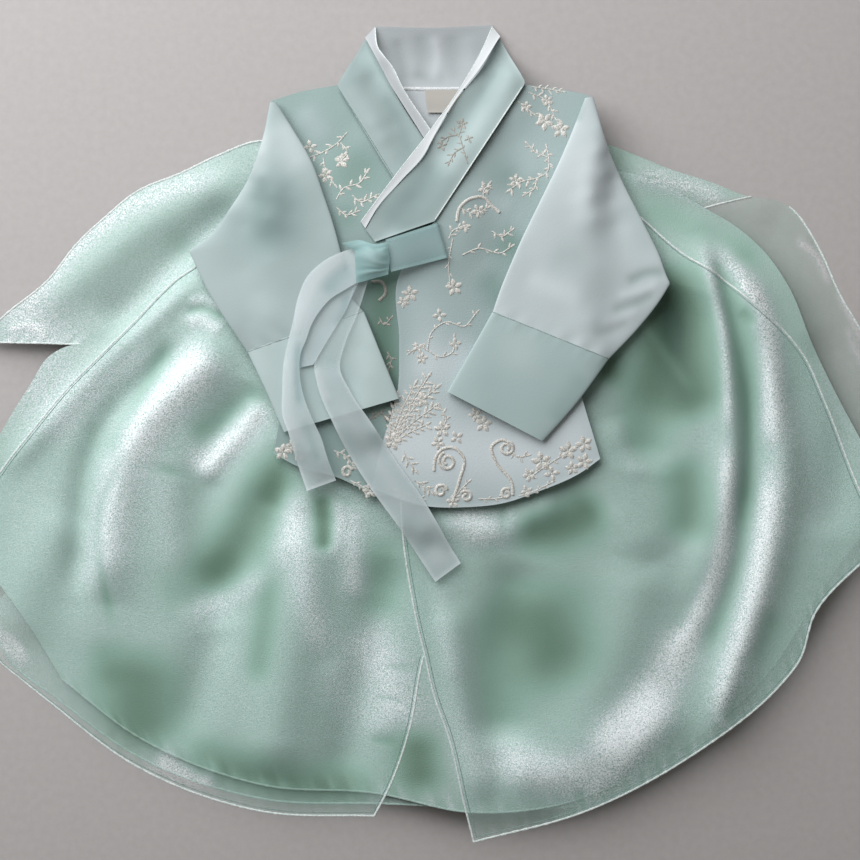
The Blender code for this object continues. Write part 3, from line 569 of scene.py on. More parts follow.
CREASES = folds(
    # Broad stretches painted lighter: a painted highlight where the cloth lies nearly level under the window.
    (-306, 130, -300, 70, -290, -10, 36, 0.0, 0.15), (60, -262, 20, -240, 30, -200, 26, 0.0, 0.06),
    # The left wing and what shows below it.
    (-322, 79, -238, 164, -142, 199, 9, 0.8, 0.16), (-190, 160, -226, 122, -258, 76, 12, -0.8, 0.0),
    (-176, 152, -186, 138, -186, 122, 14, -0.6, -0.10), (-183, 97, -170, 99, -154, 92, 4, 0.8, 0.16),
    (-185, 90, -168, 92, -152, 84, 4, -0.8, -0.14), (-184, 78, -176, 84, -154, 74, 6, 1.4, 0.20),
    (-160, 66, -194, 28, -232, -24, 14, 0.8, 0.30), (-192, 72, -216, 28, -243, -24, 7, -1.4, -0.16),
    (-200, 66, -250, 30, -290, -14, 12, 0.8, 0.10), (-120, 36, -150, 12, -184, -6, 11, -0.8, -0.16),
    (-118, 26, -144, -2, -184, -32, 11, 0.8, 0.24),
    # Left, from the jacket's hem down to the hem of the skirt.
    (-234, -10, -244, -66, -262, -130, 13, 0.8, 0.10), (-228, -12, -248, -62, -238, -154, 4, -1.2, -0.16),
    (-212, -12, -198, -58, -192, -110, 16, 0.8, 0.07), (-194, -22, -197, -30, -198, -36, 12, -0.8, -0.14),
    (-112, -14, -130, -64, -178, -122, 19, -0.6, -0.28),
    (-140, -90, -172, -112, -210, -128, 14, -0.3, -0.08),
    (-112, -4, -114, -32, -122, -60, 9, -0.8, -0.14), (-100, -36, -114, -96, -194, -146, 10, 1.4, 0.16),
    (-98, -34, -98, -90, -78, -176, 11, 1.0, 0.16), (-80, -168, -62, -204, -30, -232, 12, 1.0, 0.06),
    (-82, -44, -80, -66, -79, -92, 7, -1.6, -0.36), (-70, -48, -68, -70, -74, -96, 4, 0.8, 0.16),
    (-60, -50, -58, -86, -56, -130, 9, 1.0, 0.20), (-117, -84, -123, -134, -132, -198, 10, -1.0, -0.18),
    (-38, -72, -34, -108, -38, -146, 15, -0.5, -0.14), (-60, -140, -36, -176, -20, -230, 20, 0.5, 0.22),
    (-216, -150, -220, -204, -208, -256, 30, -0.6, -0.30),
    (-214, -246, -182, -256, -154, -262, 12, 1.0, 0.16),
    (-200, -238, -110, -264, -30, -266, 17, -0.6, -0.26),
    (-248, -150, -244, -176, -236, -200, 14, -0.6, -0.10),
    # Right, beside the right sleeve.
    (202, 148, 219, 80, 224, -10, 5, 1.8, 0.32), (200, 152, 244, 104, 257, -20, 8, 1.8, 0.36),
    (212, 156, 232, 90, 236, 0, 28, 0.0, -0.09), (224, 104, 237, 70, 240, -20, 6, -1.4, -0.02),
    (232, 112, 240, 104, 248, 98, 3, 1.2, 0.18), (174, 132, 184, 72, 200, 0, 22, -1.0, -0.38),
    (150, 96, 176, 60, 200, 26, 4, 0.5, 0.08), (128, 66, 134, 46, 126, 34, 11, -1.0, -0.28),
    (146, 46, 160, 36, 176, 18, 14, 0.4, -0.06), (136, 12, 146, -12, 160, -36, 8, 0.8, 0.06),
    (262, 40, 284, -20, 286, -90, 18, -0.6, 0.04),
    # Right, the two long bands down to the hem.
    (224, 4, 218, -96, 178, -184, 7, 1.6, 0.42), (196, -140, 164, -204, 120, -242, 16, 0.8, 0.30),
    (257, -14, 249, -92, 212, -230, 9, 1.6, 0.34), (242, -20, 234, -90, 204, -180, 7, -1.4, -0.10),
    (238, -160, 228, -196, 222, -222, 6, -1.0, -0.16), (182, -14, 194, -50, 192, -90, 18, -1.2, -0.24),
    (130, -52, 142, -74, 152, -94, 14, 0.8, 0.02), (14, -58, 34, -68, 40, -92, 13, 0.8, 0.18),
    (54, -54, 55, -66, 55, -78, 3, -0.8, -0.10), (56, -70, 92, -72, 136, -50, 18, -0.8, -0.34),
    (62, -106, 86, -154, 112, -204, 34, -0.8, -0.31), (34, -238, 108, -256, 186, -184, 17, 0.5, 0.28),
    (112, -278, 142, -252, 174, -214, 8, 0.7, 0.08), (8, -110, 10, -150, 20, -190, 7, 0.8, 0.06),
    (262, -130, 250, -150, 236, -176, 12, -0.6, -0.10), (-10, -216, -8, -246, -4, -280, 18, -0.4, -0.32),
    # Small puckers drawn up by the hems, and a pinch between the two bright bands.
    (-36, -175, -25, -177, -14, -177, 2.5, -0.4, -0.14),
    (-40, -199, -29, -201, -18, -201, 2.5, -0.4, -0.12),
    (-46, -230, -36, -232, -25, -232, 3, -0.4, -0.12),
    (112, -266, 113, -274, 115, -282, 2.5, -0.4, -0.12), (232, 94, 238, 88, 244, 80, 5, -0.5, -0.16),
    # Crumpled stretches of the sheer hems.
    (-338, -134, -322, -160, -300, -178, 5, 0.6, 0.16),
    (-330, -150, -312, -160, -306, -172, 3, 0.6, 0.20),
    (-206, -246, -186, -260, -160, -268, 5, 0.6, 0.22),
    (-192, -246, -176, -252, -168, -262, 3, -0.6, -0.10), (-322, 76, -300, 80, -286, 72, 3, 0.6, 0.14),
    (274, 146, 290, 134, 302, 108, 3, 0.8, 0.42), (284, 150, 296, 128, 304, 112, 2, -0.6, -0.16),
    (306, 108, 318, 84, 334, 52, 3, 0.8, 0.44), (312, 82, 320, 62, 332, 40, 2.5, 0.6, 0.30),
    (322, 76, 330, 60, 338, 44, 2, -0.6, -0.14),
    # The wing beyond the right sleeve.
    (150, 196, 190, 186, 228, 172, 8, 0.6, 0.16), (150, 176, 204, 150, 252, 118, 12, 0.0, -0.10),
)
print("folds:", len(LARGE_FOLDS + CREASES))

# %% Surface functions
FOLD_REACH = 3.0
FOLD_EASE = (0.2, 0.5)
FOLD_EASE_WIDTHS = 1.3
FOLD_POINTS = 14
TONE_MIDDLE = 0.52


def fold_sum(x, y, folds, part, blunt=0.0):
    """The folds' heights or tones added up: a bell across each bent line, fading out over its ends.

    A short wide fold fades over its whole length, so that it stays round. Blunt keeps some at the ends.
    """
    total = np.zeros(x.shape)
    for fold in folds:
        line = curve((fold.start, fold.middle, fold.end), FOLD_POINTS)
        ease = np.clip(FOLD_EASE_WIDTHS * fold.width / run_along(line)[-1], *FOLD_EASE)
        low, high = line.min(axis=0) - FOLD_REACH * fold.width, line.max(axis=0) + FOLD_REACH * fold.width
        inside = (x > low[0]) & (x < high[0]) & (y > low[1]) & (y < high[1])
        away, along = near_line(x[inside], y[inside], line)
        fade = smoothstep(along / ease + blunt) * smoothstep((1 - along) / ease + blunt)
        total[inside] += getattr(fold, part) * fade * np.exp(-((away / fold.width) ** 2))
    return total


def under_jacket(x, y):
    """0 where the jacket presses the skirt flat, 1 clear of it."""
    pressed = np.hypot((x - JACKET_REST[0]) / JACKET_REST_HALF[0], (y - JACKET_REST[1]) / JACKET_REST_HALF[1])
    return smoothstep((pressed - JACKET_REST_RIM) / JACKET_REST_RISE)


def skirt_height(x, y):
    """The folded surface that all layers of the skirt share, in mm above the floor."""
    out = np.hypot(x / BILLOW_HALF_WIDTH, (y - BILLOW_CENTRE_Y) / BILLOW_HALF_LENGTH)
    side = smoothstep((x + SIDE_CHANGE) / (2 * SIDE_CHANGE))
    hem = HEM_HEIGHT_LEFT + (HEM_HEIGHT_RIGHT - HEM_HEIGHT_LEFT) * side
    billow = BILLOW_HEIGHT + (hem - BILLOW_HEIGHT) * smoothstep((out - BILLOW_FLAT) / BILLOW_FALL)
    rise = smoothstep((WAIST_EDGE_Y - y) / WAIST_RISE)
    share = (WAIST_SHARE + (1 - WAIST_SHARE) * rise) * rise**WAIST_ROUND
    height = WAIST_HEIGHT + (billow - WAIST_HEIGHT) * share
    free = under_jacket(x, y)
    height = height + free * fold_sum(x, y, LARGE_FOLDS, "height", FOLD_BLUNT)
    return np.maximum(height + free * fold_sum(x, y, CREASES, "height"), LEAST_HEIGHT)


def skirt_painted_light(x, y):
    """The painted highlight and painted shade at each place, about a middle tone, from the folds it lies in.
    """
    return TONE_MIDDLE + fold_sum(x, y, LARGE_FOLDS, "tone") + fold_sum(x, y, CREASES, "tone")


# %% [markdown]
# ## The skirt's layers
# The skirt is made of wide lengths of organza, cut round at the hem and gathered into a band. Each
# layer is a panel between its waist edge, its two side edges and its hem. The two front panels are
# the sheerest, with rolled hems, and where they pass the mint layer below the floor shows through.

# %% Skirt edges
LEFT_WING = edges(
    left=((-92, 206), (-126, 220), (-160, 209), (-187, 196), (-222, 181), (-245, 162), (-266, 142),
          (-287, 115), (-322, 87), (-341, 68)),
    right=((-86, 204), (-110, 150), (-160, 100), (-196, 70)),
    bottom=((-341, 68), (-294, 67), (-240, 66), (-196, 70)),
)

RIGHT_WING = edges(
    left=((94, 206), (160, 130), (228, 70), (270, 0)),
    right=((271, 170), (278, 163), (286, 151), (295, 134), (308, 104), (322, 80), (340, 48), (355, 14)),
    top=((94, 206), (127, 218), (160, 207), (179, 199), (210, 189), (241, 177.5), (256, 175.5), (265, 173.5),
         (271, 170)),
    bottom=((270, 0), (304, -8), (332, -2), (355, 14)),
)

UNDERSKIRT = edges(
    left=((-268, -84), (-292, -100), (-316, -116), (-332, -138)),
    right=((250, -66), (280, -84), (308, -104)),
    top=((-268, -84), (-200, -176), (-130, -216), (-40, -228), (60, -226), (150, -206), (216, -148),
         (250, -66)),
    bottom=((-332, -138), (-318, -172), (-283, -200), (-222, -244), (-124, -277), (-36, -280), (30, -282),
            (112, -280), (204, -228), (252, -190), (280, -136), (308, -104)),
)

MAIN_SKIRT = edges(
    left=((-92, 206), (-150, 156), (-205, 104), (-240, 82), (-261, 67), (-275, 64), (-287, 57),
          (-301, 36), (-322, 2), (-342, -40), (-346, -72), (-337, -98), (-322, -118), (-310, -134),
          (-278, -186)),
    right=((94, 206), (172, 188), (208, 168), (231, 154), (251, 136), (269, 110), (287, 67), (308, 24),
           (324, -6), (338, -36), (334, -64), (312, -92)),
    bottom=((-278, -186), (-220, -230), (-125, -266), (-40, -272), (30, -286), (97, -280), (157, -256),
            (212, -220), (256, -178), (288, -128), (312, -92)),
)

FRONT_LEFT = edges(
    left=((-90, 206), (-150, 148), (-178, 123), (-190, 115), (-203, 103), (-222, 83), (-250, 55),
          (-272, 33), (-298, 2), (-322, -28), (-344, -64), (-355, -102), (-348, -140), (-322, -175)),
    right=((8, 205), (8, -51), (7, -113), (4, -144), (-4, -166), (-15, -222), (-31, -268), (-42, -289)),
    bottom=((-322, -175), (-286, -204), (-223, -251), (-125, -286), (-42, -289)),
)

FRONT_RIGHT = edges(
    left=((-25, 205), (-22, -10), (-20, -79), (-14, -120), (-10, -141), (-4, -166), (4, -200), (13, -225),
          (27, -284), (33, -308)),
    right=((94, 206), (150, 168), (195, 130), (209, 122), (224, 111), (240, 98), (267, 74), (280, 58),
           (296, 24), (322, -42), (341, -84)),
    bottom=((33, -308), (116, -285), (212, -232), (260, -193), (277, -172), (289, -136), (322, -100),
            (341, -84)),
)

# %% Skirt shells
SKIRT_THICK = 0.6
HEM_CRINKLE = 0.5
HEM_CRINKLE_REACH = 9.0
HEM_WAVE = 11.0
HEM_RADIUS = 0.8
HEM_STEP = 2.0
ROLL_UNEVEN = 0.35
ROLL_WAVE = 6.0
WAVES = 4
WAVE_STRETCH = (0.6, 1.7)
CRINKLE_PAINTED_LIGHT = 0.3
STITCH_LINE = 1
STITCH_LINE_LIFT = 0.35
STITCH_LINE_RADIUS = 0.32
HIDDEN_HEM_Y = {("front_left", "right"): -166.0}
Layer = namedtuple("Layer", "name cut level finish rows columns cover tone hemmed thread")

ALL_HEMS = ("left", "bottom", "right")
LAYERS = (
    Layer("underskirt", UNDERSKIRT, 0, sheer_mint, 24, 150, 0.6, 0.02, ("bottom",), deep_thread),
    Layer("left_wing", LEFT_WING, 0, mint_satin, 90, 70, 1.0, 0.04, ("left", "bottom"), hem_and_highlight_thread),
    Layer("right_wing", RIGHT_WING, 0, sheer_mint, 90, 80, 0.34, -0.06, ("right",), hem_and_highlight_thread),
    Layer("main", MAIN_SKIRT, 1, mint_satin, 170, 200, 1.0, 0.0, ("bottom",), deep_thread),
    Layer("front_left", FRONT_LEFT, 2, sheer_mint, 170, 150, 0.42, 0.06, ALL_HEMS, hem_and_highlight_thread),
    Layer("front_right", FRONT_RIGHT, 3, sheer_mint, 170, 150, 0.42, 0.0, ALL_HEMS, hem_and_highlight_thread),
)


def layer_top(plan, level):
    """The upper side of a skirt layer over its plan points."""
    return skirt_height(plan[..., 0], plan[..., 1]) + level * LAYER_STEP + LAYER_GAP + WALL


def crinkle(along, strength, length, seed):
    """A rough little wave along an edge: four sines of uneven length and turn, added up."""
    drawn = np.random.default_rng(seed)
    total = np.zeros(along.shape)
    for stretch, turn in zip(drawn.uniform(*WAVE_STRETCH, WAVES), drawn.uniform(0, 2 * np.pi, WAVES)):
        total += np.sin(2 * np.pi * along / (length * stretch) + turn) / WAVES
    return strength * total


def edge_run(grid, side):
    """One edge of a grid of points."""
    return {"left": grid[:, 0], "right": grid[:, -1], "top": grid[0], "bottom": grid[-1]}[side]


def rolled_hem(name, grid, layer, radius, shades):
    """The edge rolled in and sewn: a fine round run along each hemmed side, a little uneven in width."""
    runs = []
    for side in layer.hemmed:
        line = edge_run(grid, side) - (0.0, 0.0, SKIRT_THICK / 2)
        line = line[line[:, 1] < HIDDEN_HEM_Y.get((layer.name, side), np.inf)]
        length = run_along(line)[-1]
        count = max(8, int(length / HEM_STEP))
        uneven = crinkle(np.linspace(0.0, length, count), ROLL_UNEVEN, ROLL_WAVE, len(name) + len(side))
        runs.append(round_run(spaced(line, count), radius * (1 + uneven)))
    return piece(name, *joined(runs), layer.thread, SLOTS[layer.finish.name], shades=shades)


WING_TURN = ((167, 162.8), (241, 177.0))
WING_DOUBLE_COVER = 0.8
WING_TURN_SOFT = 3.0
WING_TURN_END = 4.0
WING_TURN_FADE = 5.0
FULL_HEM_COVER = 0.94
FULL_HEM_REACH = 30.0
FULL_HEM_FROM = 75.0
FULL_HEM_RISE = 55.0


def wing_cover(x, y, single):
    """The right wing is turned back along its upper edge, and is denser where it lies double."""
    (x0, y0), (x1, y1) = WING_TURN
    above = y - (y0 + (x - x0) * (y1 - y0) / (x1 - x0))
    double = smoothstep(above / WING_TURN_SOFT) * smoothstep((x1 + WING_TURN_END - x) / WING_TURN_FADE)
    return single + (WING_DOUBLE_COVER - single) * double


def hem_cover(x, to_hem, single):
    """Towards the right more lengths end at the right front's hem, so that it grows dense there."""
    full = smoothstep((x - FULL_HEM_FROM) / FULL_HEM_RISE) * np.exp(-((to_hem / FULL_HEM_REACH) ** 2))
    return single + (FULL_HEM_COVER - single) * full


def skirt_layer(layer):
    """One length of the skirt as a closed shell with its rolled hem, crinkled a little along its edge."""
    plan = panel_plan(layer.cut, layer.rows, layer.columns)
    x, y = plan[..., 0], plan[..., 1]
    rim = rim_distance(plan)
    hem = np.exp(-((rim.bottom / HEM_CRINKLE_REACH) ** 2))
    wave = crinkle(rim.left, HEM_CRINKLE, HEM_WAVE, len(layer.name)) * hem
    # The hem's crinkle is painted lighter on its crests and darker in its dips: painted highlight and painted
    # shade.
    tone = skirt_painted_light(x, y) + layer.tone + CRINKLE_PAINTED_LIGHT * wave
    top = layer_top(plan, layer.level) + wave
    cover = layer.cover
    if layer.name == "right_wing":
        cover = wing_cover(x, y, cover)
    if layer.name == "front_right":
        cover = hem_cover(x, rim.bottom, cover)
    shades = layer.finish == mint_satin
    grid = np.dstack([plan, top])
    rolls = [rolled_hem("hem_" + layer.name, grid, layer, HEM_RADIUS, shades)]
    if layer.name.startswith("front"):
        inside = grid[STITCH_LINE:-STITCH_LINE, STITCH_LINE:-STITCH_LINE] + (0.0, 0.0, STITCH_LINE_LIFT)
        stitched = layer._replace(thread=seam_and_shade_thread)
        rolls.append(rolled_hem("stitch_" + layer.name, inside, stitched, STITCH_LINE_RADIUS, shades))
    shell("skirt_" + layer.name, plan, top, SKIRT_THICK, layer.finish, tone, cover,
          replaces=["chima_" + layer.name], shades=shades, held="gathered",
          rests_on=["chima_inner_layers"], with_pieces=rolls)


for layer in LAYERS:
    skirt_layer(layer)

WING_FOLD_LINE = ((164, 162), (180, 164.5), (196.5, 166.5), (219, 172), (242, 177.4))
WING_FOLD_LIFT = 0.2
WING_FOLD_RADIUS = 0.6
fold_line = curve(WING_FOLD_LINE, 50)
fold_line = np.column_stack([fold_line, layer_top(fold_line, 0) + WING_FOLD_LIFT])
piece("hem_wing_fold", *round_run(fold_line, WING_FOLD_RADIUS), hem_and_highlight_thread, "sheer_organza")

# %% [markdown]
# ## What fills the skirt
# Below the layers that show, more lengths of organza lie gathered. They are hidden but for their
# edges, so one rounded skin stands for them, turned down to the floor all round.

# %% Hidden layers
INNER_LAYERS = edges(
    left=((-92, 206), (-150, 158), (-226, 70), (-282, -20), (-292, -90)),
    right=((94, 206), (152, 178), (222, 122), (262, 56), (284, -20), (272, -90)),
    bottom=((-292, -90), (-258, -150), (-190, -206), (-110, -234), (0, -242), (100, -238), (170, -212),
            (232, -160), (272, -90)),
)
INNER_TURN = 16.0
INNER_PAINTED_SHADE = 0.15


def hidden_layers():
    """The gathered inner lengths: the shared surface, rounded down to the floor near its rim."""
    plan = panel_plan(INNER_LAYERS, 110, 120)
    x, y = plan[..., 0], plan[..., 1]
    rim = rim_distance(plan)
    near = np.minimum(np.minimum(rim.left, rim.right), rim.bottom)
    round_off = np.sqrt(np.clip(1 - (1 - np.clip(near / INNER_TURN, 0, 1)) ** 2, 0, 1))
    top = np.maximum(skirt_height(x, y) * round_off, SKIRT_THICK + FLOOR_CLEARANCE)
    # Painted shade: the gathered lengths lie under the others and are painted darker than the shared tone.
    shell("skirt_inner_gathers", plan, top, SKIRT_THICK, mint_satin, skirt_painted_light(x, y) - INNER_PAINTED_SHADE,
          replaces=["chima_inner_layers"], held="gathered", rests_on=["floor"])


hidden_layers()

# %% [markdown]
# ## Surfaces read from the solids
# The jacket lies on the skirt in a pile: back, lining, fronts, collar, sleeves and ribbon. Each solid
# already lies where it should, so a finer piece takes its heights from the solid's own corners. A thin
# plate is laid through them: of all smooth surfaces through the given heights it bends the least.

# %% Thin plates
PLATE_UNIT = 100.0
PLATE_EASE = 0.004


def plate_kernel(a, b):
    """Squared distance times its logarithm, for every pair of places."""
    squared = ((a[:, None] - b[None]) ** 2).sum(axis=2)
    return squared * np.log(squared + 1e-12)


def thin_plate(places, values):
    """The plate through values at places: a plane plus a share of the kernel for each place."""
    places = places / PLATE_UNIT
    count = len(places)
    plane = np.column_stack([np.ones(count), places])
    system = np.zeros((count + 3, count + 3))
    system[:count, :count] = plate_kernel(places, places) + PLATE_EASE * np.eye(count)
    system[:count, count:] = plane
    system[count:, :count] = plane.T
    shares = np.linalg.solve(system, np.concatenate([values, np.zeros(3)]))

    def height(plan):
        spots = plan.reshape(-1, 2) / PLATE_UNIT
        found = plate_kernel(spots, places) @ shares[:count]
        found += np.column_stack([np.ones(len(spots)), spots]) @ shares[count:]
        return found.reshape(plan.shape[:-1])

    return height


def solid_middle(node):
    """The middle height of a solid's wall as a plate, from the lowest and highest corner at each place."""
    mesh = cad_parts[node].data
    corners = np.empty(len(mesh.vertices) * 3, np.float32)
    mesh.vertices.foreach_get("co", corners)
    corners = corners.reshape(-1, 3).astype(float) / MM
    places, which = np.unique(np.round(corners[:, :2], 1), axis=0, return_inverse=True)
    low, high = np.full(len(places), np.inf), np.full(len(places), -np.inf)
    np.minimum.at(low, which.ravel(), corners[:, 2])
    np.maximum.at(high, which.ravel(), corners[:, 2])
    return thin_plate(places, (low + high) / 2)


# %% [markdown]
# ## The jacket's panels
# The jacket is cut from fine gauze, backed so that it is nearly opaque. Its front edges and hem are
# turned in and pressed, which leaves a slightly raised border, painted lighter: partly the cloth lying
# double there, partly a painted highlight on the raised edge. The small creases are listed like the
# skirt's, and their tones are painted shade and painted highlight, as are the panels' differing base
# tones.

# %% Panel maker
JACKET_THICK = 0.9
PRESSED_EDGE = 1.6
PRESSED_RISE = 0.22
PRESSED_DOUBLE_AND_HIGHLIGHT = 0.12


def surface_of(node, creases=()):
    """The height of a panel's upper side at any place: its solid's, with the panel's creases added."""
    middle = solid_middle(node)
    return lambda plan: middle(plan) + WALL / 2 + fold_sum(plan[..., 0], plan[..., 1], creases, "height")


def panel(name, node, cut, grid, finish, creases=(), tone=0.55, turned="bottom", thick=JACKET_THICK,
          lift=0.0, cover=None, cover_edge=0.0, **more):
    """A panel of cloth on its solid's form, with a pressed border along the edges named in turned."""
    plan = panel_plan(cut, *grid)
    rim = rim_distance(plan)
    border = sum(np.exp(-((getattr(rim, side) / PRESSED_EDGE) ** 2)) for side in turned.split())
    top = surface_of(node, creases)(plan) + PRESSED_RISE * border + lift
    # The pressed border is painted lighter: partly the cloth lying double, partly a painted highlight on its
    # raised edge.
    painted_light_tones = tone + fold_sum(plan[..., 0], plan[..., 1], creases, "tone") + PRESSED_DOUBLE_AND_HIGHLIGHT * border
    if cover is not None:
        cover = cover(plan) + cover_edge * border
    shell(name, plan, top, thick, finish, painted_light_tones, cover, replaces=[node], **more)


# %% Panel edges
JACKET_BACK = edges(
    left=((-116, 246), (-104, 190), (-100, 120), (-102, 50), (-112, -13)),
    right=((117, 250), (104, 190), (101, 120), (104, 50), (121, -17)),
    top=((-116, 246), (-69, 258), (0, 262), (71, 258), (117, 250)),
    bottom=((-112, -13), (-68, -30), (0, -49), (54, -48), (121, -17)),
)

BACK_NECK_LINING = edges(
    left=((-62, 258), (-50, 226), (-22, 186)),
    right=((64, 258), (50, 226), (20, 186)),
    top=((-62, 258), (0, 257), (64, 258)),
    bottom=((-22, 186), (0, 182), (20, 186)),
)

BACK_COLLAR = edges(
    left=((-42, 307), (-50, 286), (-60, 259.5)),
    right=((47, 308), (54, 286), (62, 259.5)),
    top=((-42, 307), (3, 306), (47, 308)),
    bottom=((-60, 258.2), (0, 257.4), (62, 258.2)),
)

SIZE_LABEL = edges(
    left=((-4, 257.5), (-2, 240)),
    right=((23, 257.5), (24, 240)),
)

UNDER_FRONT = edges(
    left=((-119, 249), (-106, 190), (-102, 120), (-105, 50), (-117, -16)),
    right=((-66, 261), (-50, 231), (-37, 206), (-26, 189), (2, 140), (6, 60), (4, -52)),
    top=((-119, 249), (-100, 255), (-66, 261)),
    bottom=((-117, -16), (-98, -26), (-69, -34), (-44, -45), (4, -52)),
)

OVER_FRONT = edges(
    left=((68, 261), (57, 239), (43, 216), (28, 195), (6, 161), (-18, 128), (-24, 114), (-23, 68),
          (-26, 20), (-34, -3), (-44, -42)),
    right=((120, 253), (107, 190), (104, 120), (108, 50), (127, -20)),
    top=((68, 261), (95, 258), (120, 253)),
    bottom=((-44, -42), (-5, -55), (28, -56), (55, -53), (79, -45), (113, -30), (127, -20)),
)

UNDER_COLLAR = edges(
    left=((-49, 297), (-69, 261), (-69, 261), (-68.5, 258), (-68.5, 258), (-42.3, 214), (-8, 158)),
    right=((-41, 290), (-29.4, 261), (-19, 242), (-4, 219), (14, 191), (30, 168)),
    bottom=((-8, 158), (12, 160), (30, 168)),
)

UNDER_DONGJEONG = edges(
    left=((-49, 298), (-29.4, 260), (-29.4, 260), (-5, 221), (11, 194)),
    right=((-41.5, 306.5), (-39.6, 290.5), (-39.6, 290.5), (-28, 274), (-20.8, 259), (0, 227), (15, 199)),
)

OVER_COLLAR = edges(
    left=((47, 288), (39, 274), (18, 246.5), (3.5, 221), (-5, 205), (-22, 186), (-39.5, 166), (-48, 151)),
    right=((52.8, 298), (71.3, 262.7), (71.3, 262.7), (70, 259), (70, 259), (3.6, 157.2), (3.6, 157.2),
           (-41, 142)),
)

OVER_DONGJEONG = edges(
    left=((47, 307), (38, 286), (23, 259), (-2, 223), (-28, 189), (-51.8, 157.2)),
    right=((53, 299), (39, 275.5), (18, 247.5), (3.5, 222), (-5, 206), (-22, 187), (-39.5, 167),
           (-48.3, 152)),
)

# %% Panel creases
# Each crease's tone is painted light: a painted highlight above 0, a painted shade below.
BODY_CREASES = folds(
    (40, 204, 66, 186, 92, 178, 12, -0.5, -0.12), (44, 150, 62, 140, 76, 150, 16, -0.5, -0.30),
    (30, 186, 46, 174, 66, 166, 8, 0.4, 0.10), (-18, 118, -4, 84, -4, 30, 14, 0.4, 0.10),
    (36, 122, 50, 104, 54, 84, 12, -0.5, -0.22), (8, 70, 24, 60, 38, 40, 12, -0.3, 0.10),
    (-80, 2, 30, -14, 150, 4, 38, 0.2, 0.46), (-26, 56, 16, 48, 64, 40, 22, 0.1, 0.24),
)
CHEST_CREASES = folds(
    (-48, 222, -56, 196, -54, 164, 20, -0.4, -0.18), (-100, 246, -88, 232, -78, 214, 10, 0.4, 0.14),
    (-30, 140, -36, 90, -28, 10, 16, -0.3, -0.34), (-70, 176, -62, 160, -56, 146, 12, -0.3, -0.16),
)
LINING_CREASES = folds(
    (-26, 300, -21, 280, -17, 262, 5, -0.5, -0.14), (-8, 304, -6, 284, -9, 262, 6, -0.4, -0.12),
    (3, 302, 6, 284, 2, 262, 4, 0.4, 0.16), (16, 304, 17, 288, 19, 262, 6, -0.4, -0.10),
    (30, 302, 31, 284, 34, 270, 6, 0.4, 0.06), (-15, 272, -4, 268, 14, 268, 5, -0.2, -0.12),
    (-10, 238, -6, 214, -2, 200, 6, -0.5, -0.10), (26, 232, 20, 214, 10, 202, 6, 0.4, 0.05),
)
COLLAR_CREASES = folds(
    (56, 284, 34, 244, 8, 200, 5, -0.3, -0.14), (44, 250, 26, 220, 10, 196, 7, 0.3, 0.08),
    (12, 206, -14, 172, -34, 146, 14, -0.3, -0.26),
)
UNDER_COLLAR_CREASES = folds(
    (-62, 262, -46, 240, -30, 214, 9, 0.3, 0.10), (-36, 256, -20, 228, -14, 206, 5, -0.3, -0.12),
)

# %% Jacket panels
# The base tones differ between panels of one cloth: painted light and painted shade, such as the darker under
# front.
panel("jacket_back", "jeogori_back", JACKET_BACK, (60, 48), jacket_gauze,
      rests_on=["chima_front_left", "chima_front_right"])
panel("collar_back_shell", "collar_back", BACK_COLLAR, (40, 60), white_cotton, LINING_CREASES, 0.36,
      "top bottom", rests_on=["jeogori_back"])
panel("neck_lining_shell", "neck_lining", BACK_NECK_LINING, (50, 60), white_cotton, LINING_CREASES, 0.44,
      "top", rests_on=["jeogori_back"])
panel("size_label_shell", "size_label", SIZE_LABEL, (14, 20), label_tape, (), 0.45, "top left bottom",
      thick=0.5, rests_on=["neck_lining"])
panel("under_front_shell", "jeogori_under_front", UNDER_FRONT, (90, 44), jacket_gauze, CHEST_CREASES, 0.38,
      rests_on=["jeogori_back"])
panel("under_collar_shell", "collar_under", UNDER_COLLAR, (90, 24), sleeve_silk, UNDER_COLLAR_CREASES, 0.40,
      "left", rests_on=["jeogori_under_front"])
panel("under_dongjeong_shell", "dongjeong_under", UNDER_DONGJEONG, (90, 10), white_cotton, (), 0.56,
      "left right", rests_on=["collar_under"])
panel("over_front_shell", "jeogori_over_front", OVER_FRONT, (100, 60), jacket_gauze, BODY_CREASES, 0.52,
      "bottom left", rests_on=["jeogori_under_front"])
panel("over_collar_shell", "collar_over", OVER_COLLAR, (110, 26), sleeve_silk, COLLAR_CREASES, 0.43,
      "right", rests_on=["jeogori_over_front"])
panel("over_dongjeong_shell", "dongjeong_over", OVER_DONGJEONG, (110, 10), white_cotton, (), 0.68,
      "left right", rests_on=["collar_over"])

# %% [markdown]
# ## Seams
# The collar is sewn on with the stitches hidden, so its seam shows as a fine groove with the collar's
# rolled edge beside it. The groove's shade is painted, as a fine dark run laid along it, and the rolled
# edge is a pale run that carries a painted highlight. The white strip is folded over the collar, and
# the lining meets the back of the collar in a raised white seam.

# %% Seam runs
SEAM_STEP = 1.5
SEAM_FLAT = 0.6


def seam(name, node, points, radius, finish, slot, lift=0.1, creases=()):
    """A narrow raised run along a line that lies on a panel."""
    count = max(6, int(run_along(np.array(points, float))[-1] / SEAM_STEP))
    path = outline(points, count)
    line = np.column_stack([path, surface_of(node, creases)(path) + lift])
    piece(name, *round_run(line, radius, SEAM_FLAT), finish, slot)


seam("seam_neck", "collar_back", ((-20, 258.6), (4, 258.2), (22, 258.4)), 1.5, white_thread,
     "white_lining", 0.3, LINING_CREASES)
# Painted shade: a dark run standing for the shade in the collar seam's groove.
seam("seam_over_collar", "jeogori_over_front", ((70.5, 258.5), (34, 202.5), (4.5, 156.5)), 0.55,
     seam_and_shade_thread, "embroidered_mint", 0.25, BODY_CREASES)
